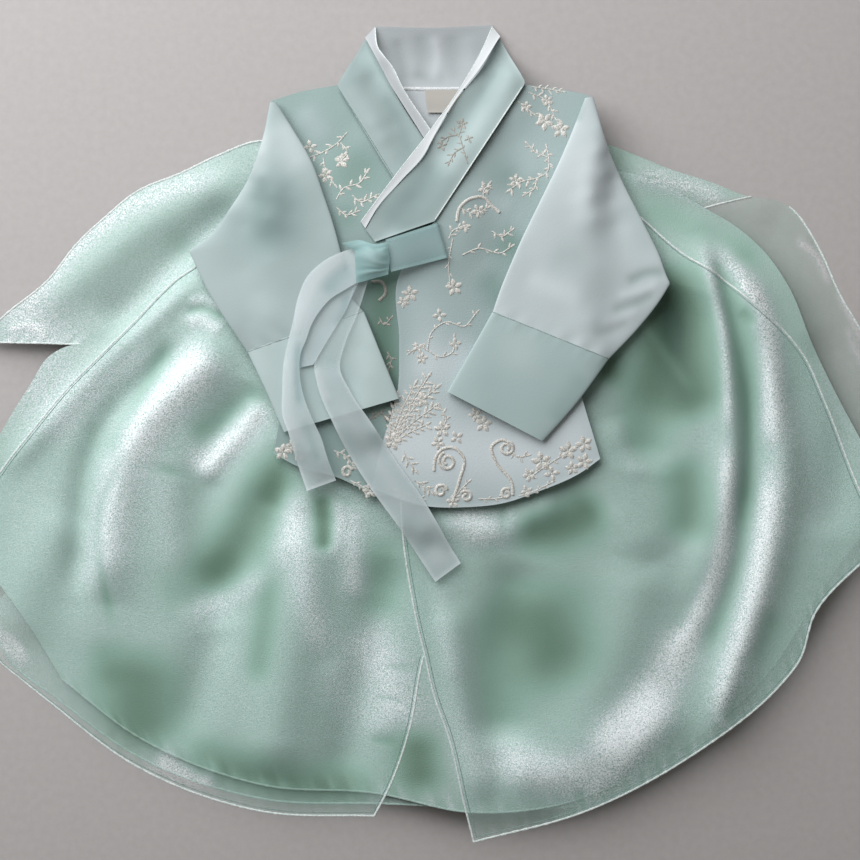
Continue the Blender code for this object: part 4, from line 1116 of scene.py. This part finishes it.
# The collar's rolled edge, in a pale thread that is a painted highlight.
seam("edge_over_collar", "collar_over", ((69, 258.5), (34.5, 205), (4, 158.5)), 0.5, hem_and_highlight_thread,
     "pale_mint", creases=COLLAR_CREASES)
# Painted shade: a dark run standing for the shade in the under collar's seam groove.
seam("seam_under_collar", "collar_under", ((-68, 257), (-42, 215), (-25, 187)), 0.4, seam_and_shade_thread,
     "pale_mint", creases=UNDER_COLLAR_CREASES)
seam("edge_under_strip", "dongjeong_under",
     ((-41.5, 306), (-39.6, 290.5), (-28, 274), (-20.8, 259), (0, 227)), 0.4, hem_and_highlight_thread, "white_lining")
seam("edge_over_strip", "dongjeong_over",
     ((47.2, 306.5), (38.3, 286), (23.3, 259), (-1.6, 223), (-27.6, 189), (-51.2, 157.4)), 0.4, hem_and_highlight_thread,
     "white_lining")

# %% [markdown]
# ## Embroidery
# The fronts are worked in silver-beige satin stitch: stems are a corded line, leaves and petals are
# padded with short stitches side by side, so that each is a small raised dome. The layout is a plain
# flower and vine pattern of the usual kind: scrolls and blossoms along the hem, sprays at the
# front edge, and sprigs on the shoulder. Each leaf is a thread run that swells in its middle.

# %% Stitches
STEM_RADIUS = 0.5
SCROLL_RADIUS = 1.25
LEAF_FLAT = 0.3
LEAF_GROWTH = 1.25
STITCH_LIFT = 0.12
STITCH_STEP = 1.2
LEAF_ANGLE = (0.6, 1.1)
LEAF_UNEVEN = (0.75, 1.2)
LEAF_HALF = 0.22
LEAF_RINGS = 6
LEAF_TIP = 0.06
LEAF_SPAN = 0.9
LEAF_ROUND = 0.8
PETAL_HALF = 0.34
PETAL_START = 0.18
BLOOM_KNOT = (1.2, 0.7)
BLOOM_KNOT_BACK = 0.5
SCROLL_WIND = 0.68
SCROLL_POINTS = 30
Stem = namedtuple("Stem", "leaf_step leaf_long points")
Bloom = namedtuple("Bloom", "x y size petals turn")


def stems(*rows):
    """Stems from rows of numbers: leaf step, leaf length, then x and y of each point."""
    return [Stem(*row[:2], np.array(row[2:], float).reshape(-1, 2)) for row in rows]


def blooms(*rows):
    """Blossoms from rows of numbers: x, y, petal length, number of petals and turn."""
    return [Bloom(*row) for row in rows]


def scroll(x, y, radius, start, turns):
    """The row of a bare cord that winds in, in a spiral, from radius to a third of it."""
    way = np.linspace(0.0, 1.0, SCROLL_POINTS)
    angle = start + way * turns * 2 * np.pi
    reach = radius * (1 - SCROLL_WIND * way)
    return (0, 0, *np.stack([x + reach * np.cos(angle), y + reach * np.sin(angle)], axis=1).ravel())


def leaf(x, y, angle, long, half):
    """A leaf or petal: a straight run whose width is the sine of the way along it."""
    way = np.linspace(0.0, 1.0, LEAF_RINGS)
    path = np.array([x, y]) + way[:, None] * long * np.array([np.cos(angle), np.sin(angle)])
    return path, half * np.sin(np.pi * (LEAF_TIP + LEAF_SPAN * way)) ** LEAF_ROUND, LEAF_FLAT


def stem(item, drawn):
    """A corded line with leaves at both sides in turn, their angles and lengths a little uneven."""
    count = max(8, int(run_along(item.points)[-1] / STITCH_STEP))
    path = curve(item.points, count)
    marks = [(path, np.full(count, STEM_RADIUS if item.leaf_step else SCROLL_RADIUS), SEAM_FLAT)]
    if not item.leaf_step:
        return marks
    ahead = np.gradient(path, axis=0)
    heading = np.arctan2(ahead[:, 1], ahead[:, 0])
    stride = max(1, int(item.leaf_step / STITCH_STEP))
    half = LEAF_HALF * item.leaf_long
    for order, at in enumerate(range(stride, count, stride)):
        side = 1 if order % 2 else -1
        angle = heading[at] + side * drawn.uniform(*LEAF_ANGLE)
        long = LEAF_GROWTH * item.leaf_long * drawn.uniform(*LEAF_UNEVEN)
        marks.append(leaf(*path[at], angle, long, half))
    marks.append(leaf(*path[-1], heading[-1], LEAF_GROWTH * item.leaf_long, half))
    return marks


def bloom(item):
    """A blossom: petals set evenly round a small raised knot."""
    marks = [leaf(item.x - BLOOM_KNOT_BACK, item.y, 0.0, *BLOOM_KNOT)]
    for order in range(item.petals):
        angle = item.turn + 2 * math.pi * order / item.petals
        out = PETAL_START * item.size
        x, y = item.x + out * math.cos(angle), item.y + out * math.sin(angle)
        marks.append(leaf(x, y, angle, item.size, PETAL_HALF * item.size))
    return marks


def embroider(name, node, creases, vines, blossoms, finish, slot):
    """Stems and blossoms lifted on to a panel and joined in one piece."""
    drawn = np.random.default_rng(len(vines) + 7 * len(blossoms))
    marks = [mark for item in vines for mark in stem(item, drawn)]
    marks += [mark for item in blossoms for mark in bloom(item)]
    paths, radii, flats = zip(*marks)
    cuts = np.cumsum([len(path) for path in paths])[:-1]
    heights = np.split(surface_of(node, creases)(np.concatenate(paths)), cuts)
    runs = [
        round_run(np.column_stack([path, height + STITCH_LIFT]), radius, flat)
        for path, height, radius, flat in zip(paths, heights, radii, flats)
    ]
    piece(name, *joined(runs), finish, slot)
    print(name, "stitched parts:", len(marks))


# %% Flowers and vines
OVER_STEMS = stems(
    (4.5, 4, 74, 255, 87, 249, 94, 236, 98, 228), (3.5, 3.5, 76, 259, 86, 258, 98, 256),
    (4, 4, 66, 248, 76, 240, 86, 233), (4, 4.5, 87, 216, 89, 205, 88, 195, 80, 190, 68, 187, 61, 182),
    (3.5, 3.5, 88, 206, 80, 209, 74, 215), (3, 3.5, 80, 190, 78, 182, 72, 178),
    (0, 4, 20, 157, 22, 167, 30, 174, 40, 175, 47, 168, 52, 164), (3.5, 4, 22, 167, 34, 163, 42, 167),
    (2.5, 4, 40, 175, 40, 180, 43, 184), (3, 4, 14, 144, 17, 150, 24, 153),
    (7, 3, 17, 144, 14, 126, 15, 110), (6, 3.5, 24, 132, 36, 137, 54, 134, 60, 138),
    (3, 3.5, 46, 150, 54, 146, 60, 150), (9, 3.5, -2, 61, 1, 74, 12, 82, 26, 79, 34, 88),
    (6, 3.5, -2, 61, 8, 56, 17, 60, 18, 70), (3, 3.5, -2, 61, -8, 64, -14, 60),
    (3, 4.5, -30, -8, -29, 10, -25, 26), (3, 5, -29, -6, -22, 14, -12, 34),
    (3, 5, -28, -4, -16, 18, -2, 40), (3, 5, -24, 2, -12, 18, 4, 32), (3, 5, -27, -6, -14, 6, 2, 18),
    (3, 4.5, -28, -9, -18, -2, -4, 5), (3, 4.5, -20, -14, -16, -22, -12, -27),
    (3, 4, 9, 2, 12, 10, 8, 18), (0, 4, 3, -29, 4, -20, 9, -13, 18, -12, 25, -19, 22, -36, 17, -52),
    scroll(13, -22, 7, 1.9, 1.4), scroll(8, -44, 5, 0.2, 1.2), scroll(27, -48, 4.5, 2.6, -1.2),
    (4, 3.5, 17, -52, 22, -44, 28, -38), (3, 4.5, -12, -36, -6, -39, 0, -44),
    (0, 4, 62, -47, 61, -38, 49, -22, 46, -11, 54, -6, 61, -9), scroll(57, -12, 5.5, 0.9, -1.3),
    (3, 4, 61, -13, 66, -19, 71, -18), scroll(57, -46, 4.2, 1.0, 1.2),
    (5, 3.5, 72, -36, 84, -27, 98, -18, 108, -12), (4, 3.5, 66, -48, 76, -45, 90, -38),
    (5, 3, -36, -41, -20, -46, -6, -50), (4, 3, 36, -50, 46, -50, 54, -49),
)
OVER_BLOOMS = blooms(
    (98, 227, 6.0, 5, 0.3), (86, 233, 6.0, 5, 0.9), (72, 244, 4.0, 5, 0.1), (88, 249, 4.0, 5, 0.6),
    (64, 188, 4.5, 5, 0.2), (41, 182, 4.5, 4, 0.4), (36, 165, 4.5, 5, 0.8), (26, 153, 4.0, 4, 0.2),
    (18, 108, 5.5, 5, 0.5), (7, 87, 4.5, 4, 0.1), (-15, 103, 5.5, 5, 0.4), (-20, 97, 4.0, 5, 0.9),
    (-9, 63, 4.0, 4, 0.5), (-6, 55, 4.0, 5, 0.2), (19, 66, 4.0, 4, 0.2), (-28, -7, 6.0, 5, 0.1),
    (-6, 24, 5.0, 5, 0.6), (9, 2, 5.5, 5, 0.4), (6, -8, 4.5, 5, 0.9), (20, -4, 4.5, 4, 0.6),
    (40, 6, 5.5, 5, 0.2), (34, 13, 4.5, 5, 0.7), (17, -52, 4.5, 5, 0.4), (83, -22, 6.5, 5, 0.5),
    (91, -31, 5.0, 4, 0.2), (74, -32, 4.5, 5, 0.8), (103, -14, 6.0, 5, 0.3), (115, -9, 5.5, 5, 0.6),
    (115, -22, 5.5, 5, 0.1), (106, -27, 4.5, 5, 0.5), (72, -44, 4.0, 4, 0.4),
)
UNDER_STEMS = stems(
    (5, 4, -62, 225, -68, 218, -80, 210, -90, 206), (3.5, 4, -67, 217, -62, 210, -67, 203),
    (4, 4.5, -70, 174, -65, 182, -52, 187, -48, 193), (3.5, 4, -58, 177, -52, 172, -42, 176),
    (4, 3.5, -80, 206, -78, 194, -72, 186), (3.5, 3.5, -70, 168, -62, 162, -56, 164),
    (3, 4, -112, -12, -104, -12, -98, -18), (3, 4.5, -72, -14, -64, -17, -58, -24),
    scroll(-62, -30, 4.5, 0.4, 1.1), (3, 3.5, -60, -36, -52, -40, -46, -44),
)
UNDER_BLOOMS = blooms(
    (-66, 203, 5.0, 5, 0.3), (-78, 192, 5.0, 5, 0.7), (-90, 214, 4.5, 4, 0.2), (-110, -15, 5.5, 5, 0.2),
    (-103, -10, 4.0, 5, 0.6), (-45, -44, 5.0, 5, 0.5),
)
WEDGE_STEMS = stems(
    (0, 3, -44, 112, -36, 112, -33, 104, -38, 98), (3, 3.5, -38, 86, -34, 80, -30, 84),
    (3, 3.5, -32, 60, -29, 54, -31, 46), (3, 4, -46, 8, -40, 14, -32, 12),
)
COLLAR_STEMS = stems(
    (4, 3, 28, 200, 25, 210, 21, 222, 18, 225), (3, 3.5, 20, 222, 14, 221, 9, 218),
    (2.5, 3.5, 21, 221, 23, 226, 24, 231), (3, 3.5, 24, 212, 18, 208, 15, 202),
)
COLLAR_BLOOMS = blooms((9, 214, 3.5, 4, 0.4), (24, 231, 4.0, 5, 0.2), (29, 219, 3.0, 4, 0.4))

embroider("embroidery_over_front", "jeogori_over_front", BODY_CREASES, OVER_STEMS, OVER_BLOOMS,
          silver_thread, "embroidered_mint")
embroider("embroidery_under_front", "jeogori_under_front", CHEST_CREASES, UNDER_STEMS, UNDER_BLOOMS,
          silver_thread, "embroidered_mint")
embroider("embroidery_wedge", "jeogori_under_front", CHEST_CREASES, WEDGE_STEMS, (), faded_thread,
          "embroidered_mint")
embroider("embroidery_collar", "collar_over", COLLAR_CREASES, COLLAR_STEMS, COLLAR_BLOOMS, faded_thread,
          "pale_mint")

# %% [markdown]
# ## Sleeves and cuffs
# A sleeve is a flat tube. Its section is a flattened oval between the fold edge over the front and the
# underarm edge, nearly flat above and round at both sides. The inside is the same oval, less the
# cloth, and both ends stay open. Where the cuff is sewn on, the seam draws up small puckers.

# %% Tube maker
TUBE_AIR = 3.0
TUBE_HALF = WALL + TUBE_AIR / 2
TUBE_THICK = 0.8
AROUND = 112
PUCKER_LENGTH = 13.0
PUCKER_REACH = 7.0
PUCKER_PAINTED_LIGHT = 0.1
Tube = namedtuple("Tube", "fold_edge under_edge stations")


def tube(node, shape, finish, creases, tone, sewn_at, pucker):
    """A flattened tube on its solid: each section an oval whose height is the root of its sine.

    Puckers are short waves along the section that die away from the end it is sewn at.
    """
    fold = outline(shape.fold_edge, shape.stations)[:, None]
    under = outline(shape.under_edge, shape.stations)[:, None]
    angle = np.linspace(0.0, 2 * np.pi, AROUND, endpoint=False)[None, :, None]
    middle, half = (fold + under) / 2, (under - fold) / 2
    reach = np.linalg.norm(half, axis=2, keepdims=True)
    rise = (np.sign(np.sin(angle)) * np.abs(np.sin(angle)) ** 0.5)[..., 0]
    rise[np.abs(np.sin(angle[..., 0])) < 1e-9] = 0.0
    outer = middle + half * np.cos(angle)
    inner = middle + half * np.cos(angle) * (1 - TUBE_THICK / reach)
    run = run_along(middle[:, 0])[:, None]
    away = run if sewn_at == "start" else run[-1] - run
    across = (reach * np.cos(angle))[..., 0]
    wave = crinkle(across, pucker, PUCKER_LENGTH, shape.stations) * np.exp(-((away / PUCKER_REACH) ** 2))
    x, y = outer[..., 0], outer[..., 1]
    lift = (rise > 0) * smoothstep(rise) * (fold_sum(x, y, creases, "height") + wave)
    base = solid_middle(node)(outer) + lift
    outer = np.dstack([outer, base + TUBE_HALF * rise])
    inner = np.dstack([inner, base + (TUBE_HALF - TUBE_THICK) * rise])
    count = shape.stations * AROUND
    first = np.arange(AROUND)
    beside = (first + 1) % AROUND
    end = np.stack([first, beside, beside + count, first + count], axis=-1)
    faces = np.concatenate([
        grid_faces(shape.stations, AROUND, around=True),
        grid_faces(shape.stations, AROUND, start=count, around=True, flip=True),
        end,
        end[:, ::-1] + count - AROUND,
    ])
    # The tone is painted light: the creases' tones, and the puckers painted lighter on their crests and
    # darker in their dips.
    painted_light_tones = tone + fold_sum(x, y, creases, "tone") + PUCKER_PAINTED_LIGHT * wave
    points = np.concatenate([outer.reshape(-1, 3), inner.reshape(-1, 3)])
    made = piece(node + "_shell", points, faces, finish, None, {"tone": np.tile(painted_light_tones.ravel(), 2)}, [node])
    declare_sheet(made)


# %% Sleeve shapes
LEFT_SLEEVE = Tube(
    fold_edge=((-115, 247), (-104, 229), (-88, 201), (-79, 176), (-72, 155), (-65, 128), (-59, 101),
               (-49.6, 90.0)),
    under_edge=((-120, 247), (-125, 221), (-135, 193), (-150, 168), (-164, 148), (-180.8, 135.8),
                (-180.8, 135.8), (-164.6, 103), (-136.6, 59.9)),
    stations=110,
)
LEFT_CUFF = Tube(
    fold_edge=((-49.2, 89.8), (-36, 57), (-23, 25)),
    under_edge=((-136.2, 59.7), (-122, 30), (-109, 0)),
    stations=40,
)
RIGHT_SLEEVE = Tube(
    fold_edge=((116, 250), (108, 229), (97, 203), (82, 172), (67, 141), (58, 120), (52, 105),
               (46.8, 89.6)),
    under_edge=((122.5, 251), (133, 214), (144, 189), (161, 154), (171, 133), (178, 114), (179.5, 111),
                (179.5, 111), (173, 100), (156, 78), (133.6, 54.6)),
    stations=110,
)
RIGHT_CUFF = Tube(
    fold_edge=((46.4, 89.2), (30, 60), (13, 30)),
    under_edge=((133.2, 54.2), (108, 20), (84, -7)),
    stations=40,
)

# Each crease's tone is painted highlight above 0 and painted shade below.
LEFT_SLEEVE_CREASES = folds(
    (-112, 206, -120, 160, -112, 116, 27, -0.4, -0.42), (-112, 240, -104, 216, -92, 190, 12, 0.2, 0.18),
    (-124, 232, -134, 200, -154, 162, 9, 0.2, 0.26), (-160, 122, -134, 94, -84, 86, 14, 0.3, 0.04),
    (-107, 250, -106, 242, -104, 232, 3, -0.1, -0.26),
)
RIGHT_SLEEVE_CREASES = folds(
    (178, 119, 162, 118, 146, 110, 4, -0.7, -0.26), (174, 112, 156, 104, 138, 100, 4, 0.5, 0.10),
    (170, 104, 152, 95, 134, 90, 4, -0.5, -0.20), (158, 92, 142, 84, 126, 80, 5, 0.4, 0.10),
    (150, 84, 138, 76, 120, 72, 4, -0.3, -0.10), (120, 224, 120, 190, 112, 150, 18, -0.3, 0.14),
    (86, 132, 104, 128, 122, 134, 12, -0.3, -0.10), (140, 178, 158, 150, 170, 128, 12, -0.3, -0.12),
    (70, 116, 92, 106, 118, 96, 9, 0.3, 0.12), (114, 253, 112, 243, 108, 231, 4, -0.1, -0.34),
)
CUFF_CREASES = folds(
    (-100, 70, -80, 40, -66, 14, 24, 0.2, -0.10), (70, 90, 66, 60, 60, 30, 22, 0.2, 0.10),
    (118, 44, 104, 24, 90, 4, 8, -0.2, -0.16),
)

# %% Sleeves
# The two sleeves are one silk and the two cuffs another; their differing base tones are painted light and
# painted shade, the left sleeve painted darker than the right.
tube("sleeve_left", LEFT_SLEEVE, sleeve_silk, LEFT_SLEEVE_CREASES, 0.50, "end", 0.4)
tube("cuff_left", LEFT_CUFF, cuff_silk, CUFF_CREASES, 0.74, "start", 0.3)
tube("sleeve_right", RIGHT_SLEEVE, sleeve_silk, RIGHT_SLEEVE_CREASES, 0.80, "end", 0.4)
tube("cuff_right", RIGHT_CUFF, cuff_silk, CUFF_CREASES, 0.60, "start", 0.3)

# %% Cuff seams
CUFF_SEAM_LONG = 90.0
CUFF_SEAM_POINTS = 90
CUFF_SEAM_SINK = 0.1
CUFF_SEAM_PUCKER = 0.12
CUFF_SEAM_RADIUS = 0.55
CUFF_SEAM_UNEVEN = 0.15


def cuff_seam(name, shape, node):
    """A fine puckered seam over the join of a sleeve and its cuff, on the crown of the tube."""
    start, end = np.array(shape.fold_edge[-1], float), np.array(shape.under_edge[-1], float)
    way = np.linspace(0.02, 0.98, CUFF_SEAM_POINTS)[:, None]
    along = CUFF_SEAM_LONG * way[:, 0]
    plan = start + way * (end - start)
    crown = TUBE_HALF * np.sqrt(2 * np.sqrt(way[:, 0] * (1 - way[:, 0])))
    pucker = crinkle(along, CUFF_SEAM_PUCKER, PUCKER_LENGTH, 5)
    height = solid_middle(node)(plan) + crown - CUFF_SEAM_SINK + pucker
    radius = CUFF_SEAM_RADIUS + crinkle(along, CUFF_SEAM_UNEVEN, ROLL_WAVE, 9)
    piece(name, *round_run(np.column_stack([plan, height]), radius, SEAM_FLAT), silk_thread, "pale_mint")


cuff_seam("seam_left_cuff", LEFT_SLEEVE, "sleeve_left")
cuff_seam("seam_right_cuff", RIGHT_SLEEVE, "sleeve_right")

# %% [markdown]
# ## The ribbon
# The goreum is a pair of long organza ribbons, tied at the chest in a half bow: one loop and two
# tails. Organza lets what lies below show through, so the tails are see-through, but their turned
# edges are double and look firmer. The knot is drawn tight and wrinkles towards its sides.

# %% Ribbon shapes
SHORT_TAIL = edges(
    left=((-52, 138), (-66, 134), (-81, 126), (-92, 115), (-98, 101), (-102, 82), (-105, 70), (-109, 51),
          (-110, 30), (-110, 13), (-105, -2), (-100, -20), (-92, -44)),
    right=((-53, 112), (-63, 106), (-74, 99), (-82, 90), (-88, 80), (-92, 69), (-96, 59), (-97, 45),
           (-95, 31), (-88, 11), (-81, -4), (-76, -20), (-70, -36)),
)

LONG_TAIL = edges(
    left=((-55, 113), (-64, 88), (-64, 88), (-77, 67), (-86, 51), (-84.5, 38), (-71, 4), (-53, -29),
          (-40, -48), (-21, -74), (-8, -94), (4, -112)),
    right=((-46, 113), (-54, 88), (-63, 66), (-67, 48), (-59, 30), (-43, 6), (-22, -26), (-7, -47),
           (5, -67), (15, -85), (23, -98)),
)

RIBBON_TURN = edges(
    left=((-58, 124), (-80, 106), (-92, 86), (-97, 66), (-97, 48)),
    right=((-52, 114), (-64, 88), (-64, 88), (-77, 67), (-87, 50)),
)
LOOP_NEAR = ((-33, 143), (-29, 119))
LOOP_FAR = ((6, 156), (13.5, 130))
LOOP_AIR = 1.6
LOOP_THICK = 0.6
KNOT = edges(
    left=((-66, 140.5), (-56, 135), (-56, 135), (-54.8, 110.5)),
    right=((-32, 141), (-30, 130), (-31, 117)),
    top=((-66, 140.5), (-51, 142.5), (-41, 139.5), (-32, 141)),
    bottom=((-54.8, 110.5), (-44, 113.5), (-31, 117)),
)
KNOT_CROWN = 4.5
# Each crease's tone is painted highlight above 0 and painted shade below.
TAIL_CREASES = folds(
    (-62, 136, -92, 116, -104, 70, 9, 0.3, 0.22), (-56, 124, -66, 118, -80, 100, 7, -0.4, -0.16),
    (-97, 70, -98, 40, -96, 14, 3, -0.5, -0.18), (-108, 60, -107, 20, -100, -14, 5, 0.4, 0.10),
    (-94, 10, -88, -6, -82, -26, 4, -0.4, -0.12), (-62, 104, -62, 92, -70, 76, 4, -0.4, -0.12),
    (-84, 50, -80, 34, -74, 20, 3, 0.4, 0.14), (-72, 30, -46, -12, -10, -66, 5, 0.3, 0.06),
    (-2, -84, 6, -92, 12, -104, 8, 0.2, 0.08),
)

# %% Ribbon pieces
RIBBON_THICK = 0.5
RIBBON_COVER = 0.66
SINGLE_COVER = 0.28
LOOP_COVER = 0.5904
LOOP_EDGE_COVER = 0.8064
LOOP_EDGE = 0.44
LOOP_BULGE = 0.8
LOOP_RUN = 30
LOOP_TURN = 17
LOOP_ACROSS = 20
KNOT_COVER = 0.9
KNOT_THICK = 0.8
KNOT_GRID = (40, 52)
KNOT_FAN = 0.25
KNOT_WRINKLES = ((0.35, 5.2, 0.0), (0.2, 9.8, 1.0))
ELBOW_Y = 56.0
ELBOW_SOFT = 14.0


def long_tail_cover(plan):
    """Above its elbow the tail is one sheer layer; below it the ribbon lies double."""
    return SINGLE_COVER + (RIBBON_COVER - SINGLE_COVER) * smoothstep((ELBOW_Y - plan[..., 1]) / ELBOW_SOFT)


def ribbon_loop():
    """The bow's loop: a ribbon that runs out, turns over its end and comes back on itself.

    Its side view is a straight run, a half circle and a straight run back; across, it bulges a little.
    """
    turn = np.linspace(-np.pi / 2, np.pi / 2, LOOP_TURN)[1:]
    radius = WALL + LOOP_AIR / 2
    length = np.linalg.norm(np.mean(LOOP_FAR, axis=0) - np.mean(LOOP_NEAR, axis=0))
    straight = np.linspace(0.0, length - radius, LOOP_RUN)
    across = np.linspace(0.0, 1.0, LOOP_ACROSS)[:, None]
    near, far = (
        (np.array(start) * (1 - across) + np.array(end) * across)[:, None]
        for start, end in (LOOP_NEAR, LOOP_FAR)
    )
    skins = []
    for inset in (0.0, LOOP_THICK):
        bend = radius - inset
        section = np.concatenate([
            np.stack([straight, np.full(LOOP_RUN, inset)], axis=1),
            np.stack([length - radius + bend * np.cos(turn), radius + bend * np.sin(turn)], axis=1),
            np.stack([straight[-2::-1], np.full(LOOP_RUN - 1, 2 * radius - inset)], axis=1),
        ])
        share = section[:, :1] / length
        plan = near * (1 - share) + far * share
        bulge = LOOP_BULGE * np.sin(np.pi * share[:, 0]) * (section[:, 1] > radius)
        bulge = bulge * np.sin(np.pi * across)
        skins.append(np.dstack([plan, solid_middle("goreum_loop")(plan) - radius + section[:, 1] + bulge]))
    cover = np.where(np.abs(across - 0.5) > LOOP_EDGE, LOOP_EDGE_COVER, LOOP_COVER)
    # Painted highlight: the loop is painted lighter across its middle, where it bulges.
    made = skin("ribbon_loop", *skins, aqua_ribbon, 0.5 + 0.12 * np.sin(np.pi * across), cover,
                replaces=["goreum_loop"])
    declare_sheet(made)


def ribbon_knot():
    """The knot: a crowned skin whose wrinkles fan out from its left side and fade at its rim."""
    plan = panel_plan(KNOT, *KNOT_GRID)
    down, across = np.linspace(0.0, 1.0, KNOT_GRID[0])[:, None], np.linspace(0.0, 1.0, KNOT_GRID[1])
    crown = np.sin(np.pi * down) * np.sin(np.pi * across)
    fan = down + KNOT_FAN * across * np.sin(2.4 * np.pi * down)
    wrinkle = sum(high * np.sin(waves * np.pi * fan + start) for high, waves, start in KNOT_WRINKLES)
    wrinkle *= np.sqrt(crown)
    top = solid_middle("goreum_knot")(plan) + WALL / 2 + KNOT_CROWN / 2 * crown + wrinkle
    # Painted light on the knot: lighter on the wrinkles' crests and the crown, darker in the wrinkles' dips.
    shell("ribbon_knot", plan, top, KNOT_THICK, aqua_ribbon, 0.36 + 0.16 * wrinkle + 0.1 * crown, KNOT_COVER,
          replaces=["goreum_knot"], rests_on=["jeogori_over_front"], held="folded")


panel("ribbon_long_tail", "goreum_long_tail", LONG_TAIL, (150, 18), aqua_ribbon, TAIL_CREASES, 0.9,
      "left right bottom", RIBBON_THICK, cover=long_tail_cover, cover_edge=0.08,
      rests_on=["sleeve_left", "jeogori_over_front"])
panel("ribbon_turn", "goreum_long_tail", RIBBON_TURN, (60, 12), aqua_ribbon, TAIL_CREASES, 0.86, "",
      RIBBON_THICK, lift=-0.7, cover=lambda plan: 0.8, rests_on=["sleeve_left"])
panel("ribbon_short_tail", "goreum_short_tail", SHORT_TAIL, (150, 20), aqua_ribbon, TAIL_CREASES, 0.92,
      "left bottom", RIBBON_THICK, cover=lambda plan: RIBBON_COVER, cover_edge=0.15,
      rests_on=["sleeve_left", "jeogori_under_front"])
ribbon_loop()
ribbon_knot()
